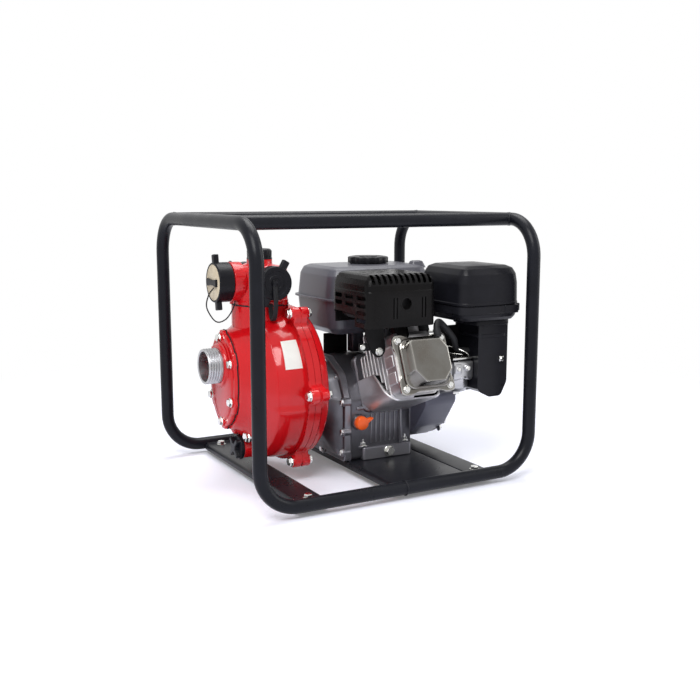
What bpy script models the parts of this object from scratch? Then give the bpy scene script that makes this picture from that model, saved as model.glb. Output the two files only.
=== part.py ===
"""Portable fire pump: a self-priming pump close-coupled to a small four-stroke engine.

Both are carried in a frame of two bent tube hoops. Metres, +Z up. The origin is on the
floor under the middle of the frame. +X runs from the pump's inlet to the recoil starter,
and -Y is the side of the valve cover and the muffler guard.
"""

import math

import bmesh
import bpy
from mathutils import Matrix, Vector

# Clearances
GAP = 0.0003
RUNNING_GAP = 0.0006
SHOULDER = 0.0006

# Tube frame
TUBE_D = 0.022
FRAME_LENGTH = 0.498
FRAME_WIDTH = 0.420
FRAME_HEIGHT = 0.420
BEND_RADIUS = 0.062
TOP_RAIL_INSET = 0.065
RAIL_CLEARANCE = 0.007

# Cross bars, feet and their bolts
BAR_SPACING = 0.314
BAR_WIDTH = 0.050
BAR_THICKNESS = 0.003
BAR_LIP = 0.010
BAR_LIFT = 0.001
FOOT_INSET = 0.028
FOOT_D = 0.030
FOOT_TIP_D = 0.024
BOLT_D = 0.007
BOLT_HOLE_D = 0.009
BOLT_HEAD_D = 0.014
BOLT_HEAD_H = 0.006

# Engine base plate
PLATE_MIN_X = -0.015
PLATE_LENGTH = 0.143
PLATE_THICKNESS = 0.003
PLATE_LIP = 0.012
PLATE_LIFT = 0.005

# Engine lower half
CRANK_Y = 0.028
CRANK_HEIGHT = 0.106
CASE_MIN_X = -0.010
CASE_LENGTH = 0.120
CASE_WALL = 0.007
CASE_HALF_WIDTH = 0.080
CASE_TOP = 0.069
FOOT_FLANGE_H = 0.016
FOOT_FLANGE_MARGIN = 0.006
PTO_LENGTH = 0.058
PTO_FACE_D = 0.112

# Cylinder, head and valve cover, measured along the cylinder from the crank's axis
CYLINDER_TILT = math.radians(22)
CYLINDER_X = 0.064
BORE = 0.068
STROKE = 0.054
ROD_LENGTH = 0.084
PISTON_CROWN = 0.018
PISTON_SKIRT = 0.025
PISTON_WALL = 0.005
WRIST_PIN_D = 0.016
DECK_CLEARANCE = 0.002
FIN_WIDTH = 0.092
FIN_DEPTH = 0.005
FIN_PITCH = 0.011
BARREL_FINS = 5
HEAD_FINS = 3
HEAD_LENGTH = 0.072
COVER_FLANGE_WIDTH = 0.104
COVER_FLANGE_HEIGHT = 0.100
COVER_FLANGE_T = 0.004
COVER_DEPTH = 0.027
COVER_WALL = 0.003

# Crankshaft and camshaft
SHAFT_D = 0.019
JOURNAL_D = 0.026
WEB_D = 0.084
WEB_T = 0.014
CRANKPIN_D = 0.026
CRANKPIN_LENGTH = 0.024
CRANK_TEETH = 16
CAM_TEETH = 32
GEAR_MODULE = 0.00225
GEAR_WIDTH = 0.010
GEAR_BACKLASH = 0.0006
CAM_SHAFT_D = 0.012
CAM_LOBE_LIFT = 0.003

# Flywheel, blower housing and recoil starter
FLYWHEEL_D = 0.160
FLYWHEEL_T = 0.036
FLYWHEEL_BLADES = 10
BLOWER_DEPTH = 0.068
BLOWER_RADIUS = 0.104
BLOWER_INTAKE_D = 0.140
TOE_REACH = 0.126
SHEET_T = 0.002
RECOIL_D = 0.184
RECOIL_DEPTH = 0.027
PULLEY_D = 0.100
PULLEY_T = 0.012
RECOIL_POST_D = 0.012
GRIP_LENGTH = 0.070
GRIP_DEPTH = 0.030
GRIP_HEIGHT = 0.020
GRIP_STEM = 0.014
SWITCH_D = 0.016
SWITCH_ROOM = 0.0134
SWITCH_ANGLE = math.radians(134)

# Fuel tank and cap
TANK_MIN_X = -0.038
TANK_LENGTH = 0.215
TANK_WIDTH = 0.161
TANK_NEAR_Y = -0.035
TANK_RISE = 0.117
TANK_HEIGHT = 0.110
TANK_SEAM_RISE = 0.055
TANK_SEAM_LIP = 0.006
TANK_WALL = 0.003
NECK_D = 0.052
NECK_H = 0.008
NECK_X = 0.085
NECK_Y = 0.055
FUEL_CAP_D = 0.073
FUEL_CAP_H = 0.013
CAP_FLUTES = 12

# Muffler and guard
GUARD_MIN_X = -0.040
GUARD_LENGTH = 0.131
GUARD_NEAR_Y = -0.160
GUARD_WIDTH = 0.121
GUARD_RISE = 0.139
GUARD_HEIGHT = 0.085
GUARD_T = 0.002
TAB_INSET = 0.028
TAB_WIDTH = 0.043
TAB_DROP = 0.045
MUFFLER_MARGIN = 0.010
EXHAUST_D = 0.030

# Air cleaner, carburettor and controls
LID_MIN_X = 0.1185
LID_LENGTH = 0.123
LID_NEAR_Y = -0.194
LID_WIDTH = 0.136
LID_RISE = 0.169
LID_HEIGHT = 0.066
LID_T = 0.0025
TRAY_HEIGHT = 0.026
TRAY_INSET = 0.002
TRAY_FLOOR = 0.012
ELBOW_LENGTH = 0.055
ELBOW_WIDTH = 0.067
ELBOW_NEAR_Y = -0.172
ELBOW_RISE = 0.013
ELBOW_CHAMFER = 0.022
CARB_LENGTH = 0.060
CARB_WIDTH = 0.040
CARB_Y = -0.135
CARB_RISE = 0.056
CARB_HEIGHT = 0.034
BOWL_D = 0.040
BOWL_DEPTH = 0.026
LEVER_T = 0.003
LEVER_WIDTH = 0.012
THROTTLE_LENGTH = 0.072
THROTTLE_TIP = 0.016
THROTTLE_OFFSET = 0.030
CHOKE_LENGTH = 0.036
CHOKE_RISE = 0.068
COCK_LENGTH = 0.034
HOSE_D = 0.011
HOSE_RISE = 0.021
HOSE_END_RISE = 0.087

# Dipstick and spark plug
DIPSTICK_X = 0.005
DIPSTICK_DROP = 0.037
DIPSTICK_D = 0.024
DIPSTICK_H = 0.012
DIPSTICK_STEM_D = 0.015
DIPSTICK_BOSS = 0.006
PLUG_X = 0.092
PLUG_D = 0.018
PLUG_H = 0.030

# Pump casing, bracket and suction cover
FLANGE_X = -0.104
FLANGE_T = 0.012
FLANGE_D = 0.268
CASING_D = 0.250
CASING_WALL = 0.009
CASING_RISE = 0.032
CASING_LENGTH = 0.091
CASING_EARS = 6
CASING_EAR_CIRCLE_D = 0.288
CASING_EAR_D = 0.025
COVER_RISE = 0.0095
COVER_D = 0.152
COVER_SQUEEZE = 0.78
COVER_EAR_CIRCLE_D = 0.141
COVER_EAR_D = 0.020
COVER_T = 0.0155
COVER_STEP = 0.009
COVER_SLOPE = 0.026
COVER_OPENING_D = 0.124
GASKET_T = 0.002
INLET_RISE = 0.027
INLET_D = 0.0596
INLET_BORE_D = 0.050
INLET_LENGTH = 0.024
INLET_COLLAR_T = 0.007
INLET_COLLAR_WALL = 0.006
FLAP_T = 0.004
FLAP_OVERLAP = 0.0025
BRACKET_BORE_D = 0.044

# Pump wet end
DIFFUSER_D = 0.140
DIFFUSER_WALL = 0.012
DIFFUSER_LENGTH = 0.046
DIFFUSER_EYE_D = 0.050
DIFFUSER_FRONT_T = 0.005
IMPELLER_D = 0.104
IMPELLER_T = 0.018
IMPELLER_VANES = 6
SEAL_LENGTH = 0.016

# Discharge manifold, outlet caps and tethers
MANIFOLD_X = -0.141
MANIFOLD_D = 0.092
NECK_TUBE_D = 0.088
MANIFOLD_FLANGE_D = 0.098
MANIFOLD_FLANGE_T = 0.008
MANIFOLD_BORE_D = 0.064
SEAT_CLEARANCE = 0.002
OUTLET_HEIGHT = 0.039
MANIFOLD_HEIGHT = 0.075
MANIFOLD_CROWN = 0.016
END_OUTLET_D = 0.054
END_OUTLET_BORE_D = 0.040
END_CAP_D = 0.066
END_CAP_DEPTH = 0.032
END_CAP_REACH = 0.083
SIDE_OUTLET_D = 0.045
SIDE_OUTLET_BORE_D = 0.033
SIDE_CAP_D = 0.056
SIDE_CAP_DEPTH = 0.020
SIDE_CAP_REACH = 0.068
CAP_WALL = 0.005
CAP_LUG_WIDTH = 0.012
CAP_LUG_REACH = 0.013
CAP_LUG_LENGTH = 0.009
PLUG_HOLE_D = 0.026
PRIMING_PLUG_D = 0.043
PRIMING_PLUG_H = 0.017
TETHER_D = 0.0022
STRAP_WIDTH = 0.008
STRAP_T = 0.002

# Drain knob
DRAIN_Y = -0.010
DRAIN_RISE = 0.020
DRAIN_FACE_X = -0.185
DRAIN_BOSS_D = 0.030
DRAIN_BOSS_LENGTH = 0.031
DRAIN_KNOB_D = 0.042
DRAIN_KNOB_T = 0.014
DRAIN_STEM_D = 0.014

# Places worked out from the sizes above
RAIL_Z = RAIL_CLEARANCE + TUBE_D / 2
TOP_Z = RAIL_Z + FRAME_HEIGHT
BAR_TOP = RAIL_Z + BAR_LIFT
BETWEEN_RAILS = FRAME_WIDTH / 2 - TUBE_D / 2 - GAP
CRANK = Vector((0.0, CRANK_Y, RAIL_Z + PLATE_LIFT + GAP + CRANK_HEIGHT))
CASE_MAX_X = CASE_MIN_X + CASE_LENGTH
PTO_X = CASE_MIN_X - PTO_LENGTH
DECK = STROKE / 2 + ROD_LENGTH + PISTON_CROWN + DECK_CLEARANCE
HEAD_END = DECK + GAP + HEAD_LENGTH
BLOWER_BACK = CASE_MAX_X + GAP
BLOWER_FRONT = BLOWER_BACK + BLOWER_DEPTH
PUMP = CRANK + Vector((0.0, 0.0, CASING_RISE))
COVER_CENTRE = PUMP + Vector((0.0, 0.0, COVER_RISE))
INLET = COVER_CENTRE + Vector((0.0, 0.0, INLET_RISE))
COVER_SEAT_X = FLANGE_X - CASING_LENGTH
COVER_BACK_X = COVER_SEAT_X - GASKET_T - 2 * GAP
COVER_FACE_X = COVER_BACK_X - COVER_T
INLET_SEAT_X = COVER_FACE_X - INLET_COLLAR_T
DRAIN = PUMP + Vector((0.0, DRAIN_Y, DRAIN_RISE - CASING_D / 2))
SEAT_RISE = CASING_RISE + FLANGE_D / 2 + SEAT_CLEARANCE
OUTLET_RISE = SEAT_RISE + OUTLET_HEIGHT
MANIFOLD_TOP_RISE = SEAT_RISE + MANIFOLD_HEIGHT
MANIFOLD = Vector((MANIFOLD_X, CRANK.y, CRANK.z))
OUTLET = MANIFOLD + Vector((0.0, 0.0, OUTLET_RISE))

# Directions: along, across and up
ALONG_X = (Vector((1, 0, 0)), Vector((0, 1, 0)), Vector((0, 0, 1)))
ALONG_Y = (Vector((0, 1, 0)), Vector((1, 0, 0)), Vector((0, 0, 1)))
ALONG_Z = (Vector((0, 0, 1)), Vector((1, 0, 0)), Vector((0, 1, 0)))
ALONG_CYLINDER = (
    Vector((0, -math.cos(CYLINDER_TILT), math.sin(CYLINDER_TILT))),
    Vector((1, 0, 0)),
    Vector((0, math.sin(CYLINDER_TILT), math.cos(CYLINDER_TILT))),
)
CYLINDER = CRANK + Vector((CYLINDER_X, 0.0, 0.0))

# Finishes: colour, roughness and metallic value
FINISHES = {
    "frame_coat": ((0.035, 0.037, 0.042), 0.45, 0.0),
    "pump_red": ((0.62, 0.012, 0.016), 0.18, 0.0),
    "cast_alloy": ((0.42, 0.42, 0.43), 0.5, 0.9),
    "zinc_plate": ((0.62, 0.60, 0.57), 0.28, 1.0),
    "black_paint": ((0.03, 0.03, 0.033), 0.35, 0.0),
    "black_plastic": ((0.018, 0.018, 0.02), 0.42, 0.0),
    "grey_paint": ((0.10, 0.10, 0.115), 0.4, 0.0),
    "rubber": ((0.015, 0.015, 0.015), 0.75, 0.0),
    "orange_plastic": ((0.95, 0.16, 0.01), 0.35, 0.0),
    "steel": ((0.45, 0.45, 0.46), 0.35, 1.0),
    "filter_foam": ((0.35, 0.32, 0.24), 0.9, 0.0),
}


def material(name, finish):
    """Principled material of one piece."""
    colour, roughness, metallic = FINISHES[finish]
    result = bpy.data.materials.new(name)
    result.use_nodes = True
    shader = result.node_tree.nodes["Principled BSDF"]
    shader.inputs["Base Color"].default_value = (*colour, 1.0)
    shader.inputs["Roughness"].default_value = roughness
    shader.inputs["Metallic"].default_value = metallic
    return result


def linked(name, data, finish):
    """Object of its own in the scene, with its own material."""
    piece = bpy.data.objects.new(name, data)
    bpy.context.scene.collection.objects.link(piece)
    data.materials.append(material(name, finish))
    return piece


def solid(name, bm, finish, origin=None):
    """Named sub-part from a closed bmesh, with its origin on its joint's axis if it has one."""
    mesh = bpy.data.meshes.new(name)
    bm.to_mesh(mesh)
    bm.free()
    mesh.shade_smooth()
    mesh.set_sharp_from_angle(angle=math.radians(35))
    piece = linked(name, mesh, finish)
    if origin is not None:
        mesh.transform(Matrix.Translation(-origin))
        piece.location = origin
    return piece


def change(piece, operation, bm):
    """Boolean of a piece with a helper shape that stays out of the model."""
    name = f"{piece.name}_{operation.lower()}_{len(piece.modifiers)}"
    mesh = bpy.data.meshes.new(name)
    bm.to_mesh(mesh)
    bm.free()
    helper = bpy.data.objects.new(name, mesh)
    bpy.context.scene.collection.objects.link(helper)
    helper.hide_render = True
    helper.display_type = "WIRE"
    boolean = piece.modifiers.new(name, "BOOLEAN")
    boolean.operation = operation
    boolean.object = helper
    boolean.solver = "EXACT"


def cut(piece, bm):
    change(piece, "DIFFERENCE", bm)


def join(piece, bm):
    change(piece, "UNION", bm)


def tube(name, points, diameter, finish, resolution=4):
    """Round bar along a path, as a curve with a bevel and filled ends."""
    curve = bpy.data.curves.new(name, "CURVE")
    curve.dimensions = "3D"
    curve.fill_mode = "FULL"
    curve.bevel_depth = diameter / 2
    curve.bevel_resolution = resolution
    curve.use_fill_caps = True
    spline = curve.splines.new("POLY")
    spline.points.add(len(points) - 1)
    for slot, point in zip(spline.points, points):
        slot.co = (*point, 1.0)
    return linked(name, curve, finish)


def polar(radius, angle):
    return (radius * math.cos(angle), radius * math.sin(angle))


def circle(radius, sides, start=0.0):
    return [polar(radius, start + math.tau * k / sides) for k in range(sides)]


def circle_like(outline, radius, shift=0.0):
    """Circle with a point at the angle of each point of an outline, raised by a shift."""
    points = [polar(radius, math.atan2(b, a)) for a, b in outline]
    return [(a, b + shift) for a, b in points]


def squeezed(outline, factor):
    return [(a * factor, b) for a, b in outline]


def scaled(outline, factor):
    return [(a * factor, b * factor) for a, b in outline]


def rounded_rectangle(width, height, radius, steps=3):
    points = []
    for quarter, (side, end) in enumerate(((1, 1), (-1, 1), (-1, -1), (1, -1))):
        middle = (side * (width / 2 - radius), end * (height / 2 - radius))
        for k in range(steps + 1):
            a, b = polar(radius, math.pi / 2 * (quarter + k / steps))
            points.append((middle[0] + a, middle[1] + b))
    return points


def eared(radius, ears, ear_circle, ear_radius, phase):
    """Circle with round bolt ears standing out of it at equal steps."""
    outline = []
    spread = math.tau / ears
    half = math.asin(ear_radius / ear_circle)
    for k in range(ears):
        middle = phase + k * spread
        for share in (-0.8, 0.0, 0.8):
            offset = share * half
            chord = ear_radius**2 - (ear_circle * math.sin(offset)) ** 2
            reach = ear_circle * math.cos(offset) + math.sqrt(chord)
            outline.append(polar(reach, middle + offset))
        plain = spread - 2.2 * half
        for j in range(4):
            outline.append(polar(radius, middle + 1.1 * half + plain * j / 3))
    return outline


def lugged(radius, lugs, reach, width, phase, between):
    """Circle with square lugs of one width standing out of it to a reach."""
    outline = []
    spread = math.tau / lugs
    foot = math.asin(width / 2 / radius)
    tip = math.asin(width / 2 / reach)
    for k in range(lugs):
        middle = phase + k * spread
        for r, offset in ((radius, -foot), (reach, -tip), (reach, tip), (radius, foot)):
            outline.append(polar(r, middle + offset))
        for j in range(1, between):
            outline.append(polar(radius, middle + foot + (spread - 2 * foot) * j / between))
    return outline


def toothed(teeth, module, phase):
    """Outline of a spur gear with four points to a tooth."""
    pitch = teeth * module / 2
    step = math.tau / teeth
    outline = []
    for k in range(teeth):
        middle = phase + k * step
        for radius, share in ((-1.2, -0.30), (0.9, -0.14), (0.9, 0.14), (-1.2, 0.30)):
            outline.append(polar(pitch + radius * module, middle + share * step))
    return outline


def radial(polygon, sides):
    """Points where rays at equal angles from the middle leave a polygon."""
    outline = []
    for k in range(sides):
        a, b = polar(1.0, math.tau * k / sides)
        reach = 0.0
        for (x0, y0), (x1, y1) in zip(polygon, polygon[1:] + polygon[:1]):
            across = a * (y1 - y0) - b * (x1 - x0)
            if abs(across) < 1e-12:
                continue
            along = (x0 * (y1 - y0) - y0 * (x1 - x0)) / across
            share = (x0 * b - y0 * a) / across
            if along > 0 and -1e-9 <= share <= 1 + 1e-9:
                reach = max(reach, along)
        outline.append((a * reach, b * reach))
    return outline


def ring(axes, origin, along, outline):
    axis, across, up = axes
    return [origin + axis * along + across * a + up * b for a, b in outline]


def loft(rings, closed=False):
    """Skin over rings of one count. Its ends are capped, or the last ring meets the first."""
    bm = bmesh.new()
    loops = [[bm.verts.new(point) for point in points] for points in rings]
    pairs = list(zip(loops, loops[1:]))
    if closed:
        pairs.append((loops[-1], loops[0]))
    else:
        bm.faces.new(loops[0])
        bm.faces.new(loops[-1])
    for near, far in pairs:
        for k in range(len(near)):
            bm.faces.new((near[k - 1], near[k], far[k], far[k - 1]))
    bmesh.ops.recalc_face_normals(bm, faces=bm.faces)
    return bm


def turned(axes, origin, profile, sides, closed=False):
    """Solid of revolution from (along, diameter) steps."""
    return loft([ring(axes, origin, at, circle(d / 2, sides)) for at, d in profile], closed)


def lofted(axes, origin, sections, closed=False):
    """Solid through (along, outline) sections."""
    return loft([ring(axes, origin, at, outline) for at, outline in sections], closed)


def block(low, high):
    """Box between two corners."""
    bm = bmesh.new()
    size = high - low
    place = Matrix.Translation((low + high) / 2) @ Matrix.Diagonal((*size, 1.0))
    bmesh.ops.create_cube(bm, size=1.0, matrix=place)
    return bm


def bent(corners, radius, steps=4):
    """Path through square corners, with each turn as an arc."""
    points = [corners[0]]
    for before, corner, after in zip(corners, corners[1:], corners[2:]):
        arrive = (corner - before).normalized()
        leave = (after - corner).normalized()
        middle = corner + (leave - arrive) * radius
        for k in range(steps + 1):
            turn = math.pi / 2 * k / steps
            points.append(middle + (arrive * math.sin(turn) - leave * math.cos(turn)) * radius)
    points.append(corners[-1])
    return points


def smooth_route(stops, steps):
    """Smooth curve through hand-chosen stops, with equal steps between two stops."""
    ends = [stops[0] * 2 - stops[1], *stops, stops[-1] * 2 - stops[-2]]
    points = []
    for p0, p1, p2, p3 in zip(ends, ends[1:], ends[2:], ends[3:]):
        for k in range(steps):
            t = k / steps
            bend = (p2 - p0) * t + (2 * p0 - 5 * p1 + 4 * p2 - p3) * t**2
            points.append(p1 + (bend + (3 * p1 - p0 - 3 * p2 + p3) * t**3) / 2)
    points.append(stops[-1])
    return points


# Frame

def end_hoop(name, side):
    x = side * FRAME_LENGTH / 2
    y = FRAME_WIDTH / 2
    seam = side * GAP / 2
    corners = [(seam, -y, RAIL_Z), (x, -y, RAIL_Z), (x, -y, TOP_Z)]
    corners += [(x, y, TOP_Z), (x, y, RAIL_Z), (seam, y, RAIL_Z)]
    tube(name, bent([Vector(c) for c in corners], BEND_RADIUS), TUBE_D, "frame_coat")


def top_rail(name, side):
    x = FRAME_LENGTH / 2 - TUBE_D / 2 - GAP
    y = side * (FRAME_WIDTH / 2 - TOP_RAIL_INSET)
    tube(name, [(-x, y, TOP_Z), (x, y, TOP_Z)], TUBE_D, "frame_coat")


def channel(name, middle_x, width, top, thickness, lip):
    """Plate between the bottom rails, with both long edges turned down."""
    inner = width / 2 - thickness
    outline = [(-width / 2, top), (width / 2, top), (width / 2, top - lip), (inner, top - lip)]
    outline += [(inner, top - thickness), (-inner, top - thickness)]
    outline += [(-inner, top - lip), (-width / 2, top - lip)]
    sections = [(-BETWEEN_RAILS, outline), (BETWEEN_RAILS, outline)]
    return solid(name, lofted(ALONG_Y, Vector((middle_x, 0, 0)), sections), "frame_coat")


def cross_bar(name, side):
    middle_x = side * BAR_SPACING / 2
    bar = channel(name, middle_x, BAR_WIDTH, BAR_TOP, BAR_THICKNESS, BAR_LIP)
    for end in (-1, 1):
        place = Vector((middle_x, end * (FRAME_WIDTH / 2 - FOOT_INSET), 0))
        hole = [(BAR_TOP - 2 * BAR_THICKNESS, BOLT_HOLE_D), (BAR_TOP + BAR_THICKNESS, BOLT_HOLE_D)]
        cut(bar, turned(ALONG_Z, place, hole, 10))


def rubber_foot(name, x, y):
    height = BAR_TOP - BAR_THICKNESS - GAP
    bore_bottom = height / 3
    profile = [(0.0, FOOT_TIP_D), (height * 0.8, FOOT_D), (height, FOOT_D)]
    profile += [(height, BOLT_HOLE_D), (bore_bottom, BOLT_HOLE_D)]
    solid(name, turned(ALONG_Z, Vector((x, y, 0)), profile, 12), "rubber")


def foot_bolt(name, x, y):
    seat = BAR_TOP + GAP
    bottom = (BAR_TOP - BAR_THICKNESS) / 3 + GAP
    profile = [(bottom, BOLT_D), (seat, BOLT_D), (seat, BOLT_HEAD_D)]
    profile += [(seat + BOLT_HEAD_H * 0.8, BOLT_HEAD_D), (seat + BOLT_HEAD_H, BOLT_HEAD_D * 0.8)]
    solid(name, turned(ALONG_Z, Vector((x, y, 0)), profile, 6), "zinc_plate")


def frame_pieces():
    end_hoop("end_hoop_pump", -1)
    end_hoop("end_hoop_engine", 1)
    top_rail("top_rail_near", -1)
    top_rail("top_rail_far", 1)
    cross_bar("cross_bar_pump", -1)
    cross_bar("cross_bar_engine", 1)
    plate_x = PLATE_MIN_X + PLATE_LENGTH / 2
    plate_top = RAIL_Z + PLATE_LIFT
    channel("engine_base_plate", plate_x, PLATE_LENGTH, plate_top, PLATE_THICKNESS, PLATE_LIP)
    for end, side_x in (("pump", -1), ("engine", 1)):
        for side, side_y in (("near", -1), ("far", 1)):
            x = side_x * BAR_SPACING / 2
            y = side_y * (FRAME_WIDTH / 2 - FOOT_INSET)
            rubber_foot(f"rubber_foot_{end}_{side}", x, y)
            foot_bolt(f"foot_bolt_{end}_{side}", x, y)


# Pump

def flange_outline():
    return eared(FLANGE_D / 2, CASING_EARS, CASING_EAR_CIRCLE_D / 2, CASING_EAR_D / 2, math.pi)


def pump_casing():
    flange = flange_outline()
    front = FLANGE_X - FLANGE_T
    dome = CASING_LENGTH - FLANGE_T
    opening = COVER_OPENING_D / 2
    outer = CASING_D / 2
    wall = CASING_WALL

    def body(share, radius, rise=0.0, squeeze=1.0):
        oval = squeezed(circle_like(flange, radius, rise * COVER_RISE), squeeze)
        return (front - dome * share, oval)

    sections = [(FLANGE_X, flange), (front, flange)]
    sections += [(front - SHOULDER, circle_like(flange, outer))]
    sections += [body(0.35, outer - 0.002), body(0.62, outer - 0.012, 0.1)]
    sections += [body(0.82, outer - 0.030, 0.6, 0.96), body(0.93, outer - 0.045, 0.8, 0.86)]
    sections += [body(1.0, COVER_D / 2, 1.0, COVER_SQUEEZE)]
    sections += [body(1.0, opening, 1.0, COVER_SQUEEZE), body(0.88, opening, 1.0, COVER_SQUEEZE)]
    sections += [body(0.78, outer - 0.042 - wall, 0.6, 0.88)]
    sections += [body(0.58, outer - 0.012 - wall, 0.1), body(0.30, outer - wall)]
    sections += [(FLANGE_X, circle_like(flange, outer - wall))]
    axis = Vector((0, PUMP.y, PUMP.z))
    casing = solid("pump_casing", lofted(ALONG_X, axis, sections, True), "pump_red")

    seat = MANIFOLD.z + SEAT_RISE
    inside = PUMP.z + outer - 1.4 * CASING_WALL
    neck = [(inside, NECK_TUBE_D), (seat, NECK_TUBE_D)]
    join(casing, turned(ALONG_Z, Vector((MANIFOLD.x, MANIFOLD.y, 0)), neck, 24))
    low = Vector((FLANGE_X, MANIFOLD.y - NECK_TUBE_D, PUMP.z))
    high = Vector((FLANGE_X + NECK_TUBE_D, MANIFOLD.y + NECK_TUBE_D, seat + CASING_WALL))
    cut(casing, block(low, high))
    bore = [(inside - CASING_WALL, MANIFOLD_BORE_D), (seat + CASING_WALL, MANIFOLD_BORE_D)]
    cut(casing, turned(ALONG_Z, Vector((MANIFOLD.x, MANIFOLD.y, 0)), bore, 20))

    boss = [(DRAIN_FACE_X, DRAIN_BOSS_D), (DRAIN_FACE_X + DRAIN_BOSS_LENGTH, DRAIN_BOSS_D)]
    join(casing, turned(ALONG_X, DRAIN, boss, 16))
    hole_d = DRAIN_STEM_D + 2 * RUNNING_GAP
    hole = [(DRAIN_FACE_X - CASING_WALL, hole_d), (DRAIN_FACE_X + 2 * CASING_WALL, hole_d)]
    cut(casing, turned(ALONG_X, DRAIN, hole, 12))


def pump_bracket():
    flange = flange_outline()
    bore = circle_like(flange, BRACKET_BORE_D / 2, -CASING_RISE)
    back = PTO_X - GAP
    front = FLANGE_X + GAP
    waist = circle_like(flange, PTO_FACE_D * 0.9, -CASING_RISE * 0.4)
    seat = circle_like(flange, PTO_FACE_D / 2, -CASING_RISE)
    sections = [(front, bore), (front, flange), (front + FLANGE_T, flange)]
    sections += [(front + FLANGE_T + SHOULDER, circle_like(flange, CASING_D / 2 - CASING_WALL))]
    sections += [((front + FLANGE_T + back) / 2, waist), (back, seat), (back, bore)]
    solid("pump_bracket", lofted(ALONG_X, Vector((0, PUMP.y, PUMP.z)), sections, True), "pump_red")


def suction_cover():
    ear_circle = COVER_EAR_CIRCLE_D / 2
    rim = eared(ear_circle * 1.007, CASING_EARS, ear_circle, COVER_EAR_D / 2, math.pi / 2)
    collar = INLET_D / 2 + INLET_COLLAR_WALL

    def oval(at, radius, rise=0.0):
        return (at, squeezed(circle_like(rim, radius, rise), COVER_SQUEEZE))

    def round_step(at, radius):
        return (at, circle_like(rim, radius, INLET_RISE))

    rim_front = COVER_BACK_X - COVER_T * 0.6
    seat_x = COVER_BACK_X - COVER_T * 0.5
    outline = squeezed(rim, COVER_SQUEEZE)
    sections = [(COVER_BACK_X, outline), (rim_front, outline)]
    sections += [oval(rim_front - SHOULDER, COVER_D / 2 - COVER_STEP)]
    sections += [oval(COVER_FACE_X, COVER_D / 2 - COVER_SLOPE, INLET_RISE * 0.5)]
    sections += [round_step(COVER_FACE_X - SHOULDER, collar)]
    sections += [round_step(INLET_SEAT_X, collar - INLET_COLLAR_WALL / 3)]
    sections += [round_step(INLET_SEAT_X, INLET_BORE_D / 2), round_step(seat_x, INLET_BORE_D / 2)]
    sections += [oval(seat_x, COVER_OPENING_D / 2), oval(COVER_BACK_X, COVER_OPENING_D / 2)]
    origin = Vector((0, COVER_CENTRE.y, COVER_CENTRE.z))
    solid("suction_cover", lofted(ALONG_X, origin, sections, True), "pump_red")

    front = COVER_SEAT_X - GAP - GASKET_T
    back = COVER_SEAT_X - GAP
    outer = squeezed(circle(COVER_D / 2, 30), COVER_SQUEEZE)
    inner = squeezed(circle(COVER_OPENING_D / 2, 30), COVER_SQUEEZE)
    washer = [(front, outer), (back, outer), (back, inner), (front, inner)]
    solid("cover_gasket", lofted(ALONG_X, origin, washer, True), "rubber")

    back = INLET_SEAT_X - GAP
    mouth = back - INLET_LENGTH
    profile = [(back, INLET_D), (mouth + 0.002, INLET_D), (mouth, INLET_D - 0.003)]
    profile += [(mouth, INLET_BORE_D), (back, INLET_BORE_D)]
    nipple = turned(ALONG_X, Vector((0, INLET.y, INLET.z)), profile, 28, True)
    solid("inlet_nipple", nipple, "cast_alloy")

    radius = INLET_BORE_D / 2 + FLAP_OVERLAP
    pivot = Vector((seat_x + GAP + FLAP_T, INLET.y, INLET.z + radius + FLAP_OVERLAP))
    flap = [polar(radius, math.radians(110 + 320 * k / 18)) for k in range(19)]
    half = radius * math.cos(math.radians(70))
    flap += [(half, radius + FLAP_OVERLAP), (-half, radius + FLAP_OVERLAP)]
    sections = [(seat_x + GAP, flap), (seat_x + GAP + FLAP_T, flap)]
    disc = lofted(ALONG_X, Vector((0, INLET.y, INLET.z)), sections)
    solid("check_valve_flap", disc, "rubber", pivot)


def wet_end():
    axis = Vector((0, CRANK.y, CRANK.z))
    back = FLANGE_X - GAP
    front = back - DIFFUSER_LENGTH
    hollow = front + DIFFUSER_FRONT_T
    bore = DIFFUSER_D - 2 * DIFFUSER_WALL
    profile = [(back, DIFFUSER_D), (front, DIFFUSER_D), (front, DIFFUSER_EYE_D)]
    profile += [(hollow, DIFFUSER_EYE_D), (hollow, bore), (back, bore)]
    solid("diffuser", turned(ALONG_X, axis, profile, 28, True), "cast_alloy")

    vane_tip = hollow + 2 * RUNNING_GAP
    disc_front = vane_tip + IMPELLER_T * 0.7
    disc_back = vane_tip + IMPELLER_T
    star = lugged(IMPELLER_D * 0.22, IMPELLER_VANES, IMPELLER_D / 2, 0.008, 0.0, 3)
    hole = circle_like(star, SHAFT_D / 2 + GAP)
    sections = [(vane_tip, hole), (vane_tip, star), (disc_front, star)]
    sections += [(disc_front + SHOULDER, circle_like(star, IMPELLER_D / 2))]
    sections += [(disc_back, circle_like(star, IMPELLER_D / 2)), (disc_back, hole)]
    solid("impeller", lofted(ALONG_X, axis, sections, True), "cast_alloy", axis)

    seal_front = FLANGE_X - SEAL_LENGTH * 0.3
    outer = BRACKET_BORE_D - 2 * GAP
    inner = SHAFT_D + 2 * GAP
    profile = [(seal_front, outer), (seal_front + SEAL_LENGTH, outer)]
    profile += [(seal_front + SEAL_LENGTH, inner), (seal_front, inner)]
    solid("shaft_seal", turned(ALONG_X, axis, profile, 20, True), "rubber")


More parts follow.
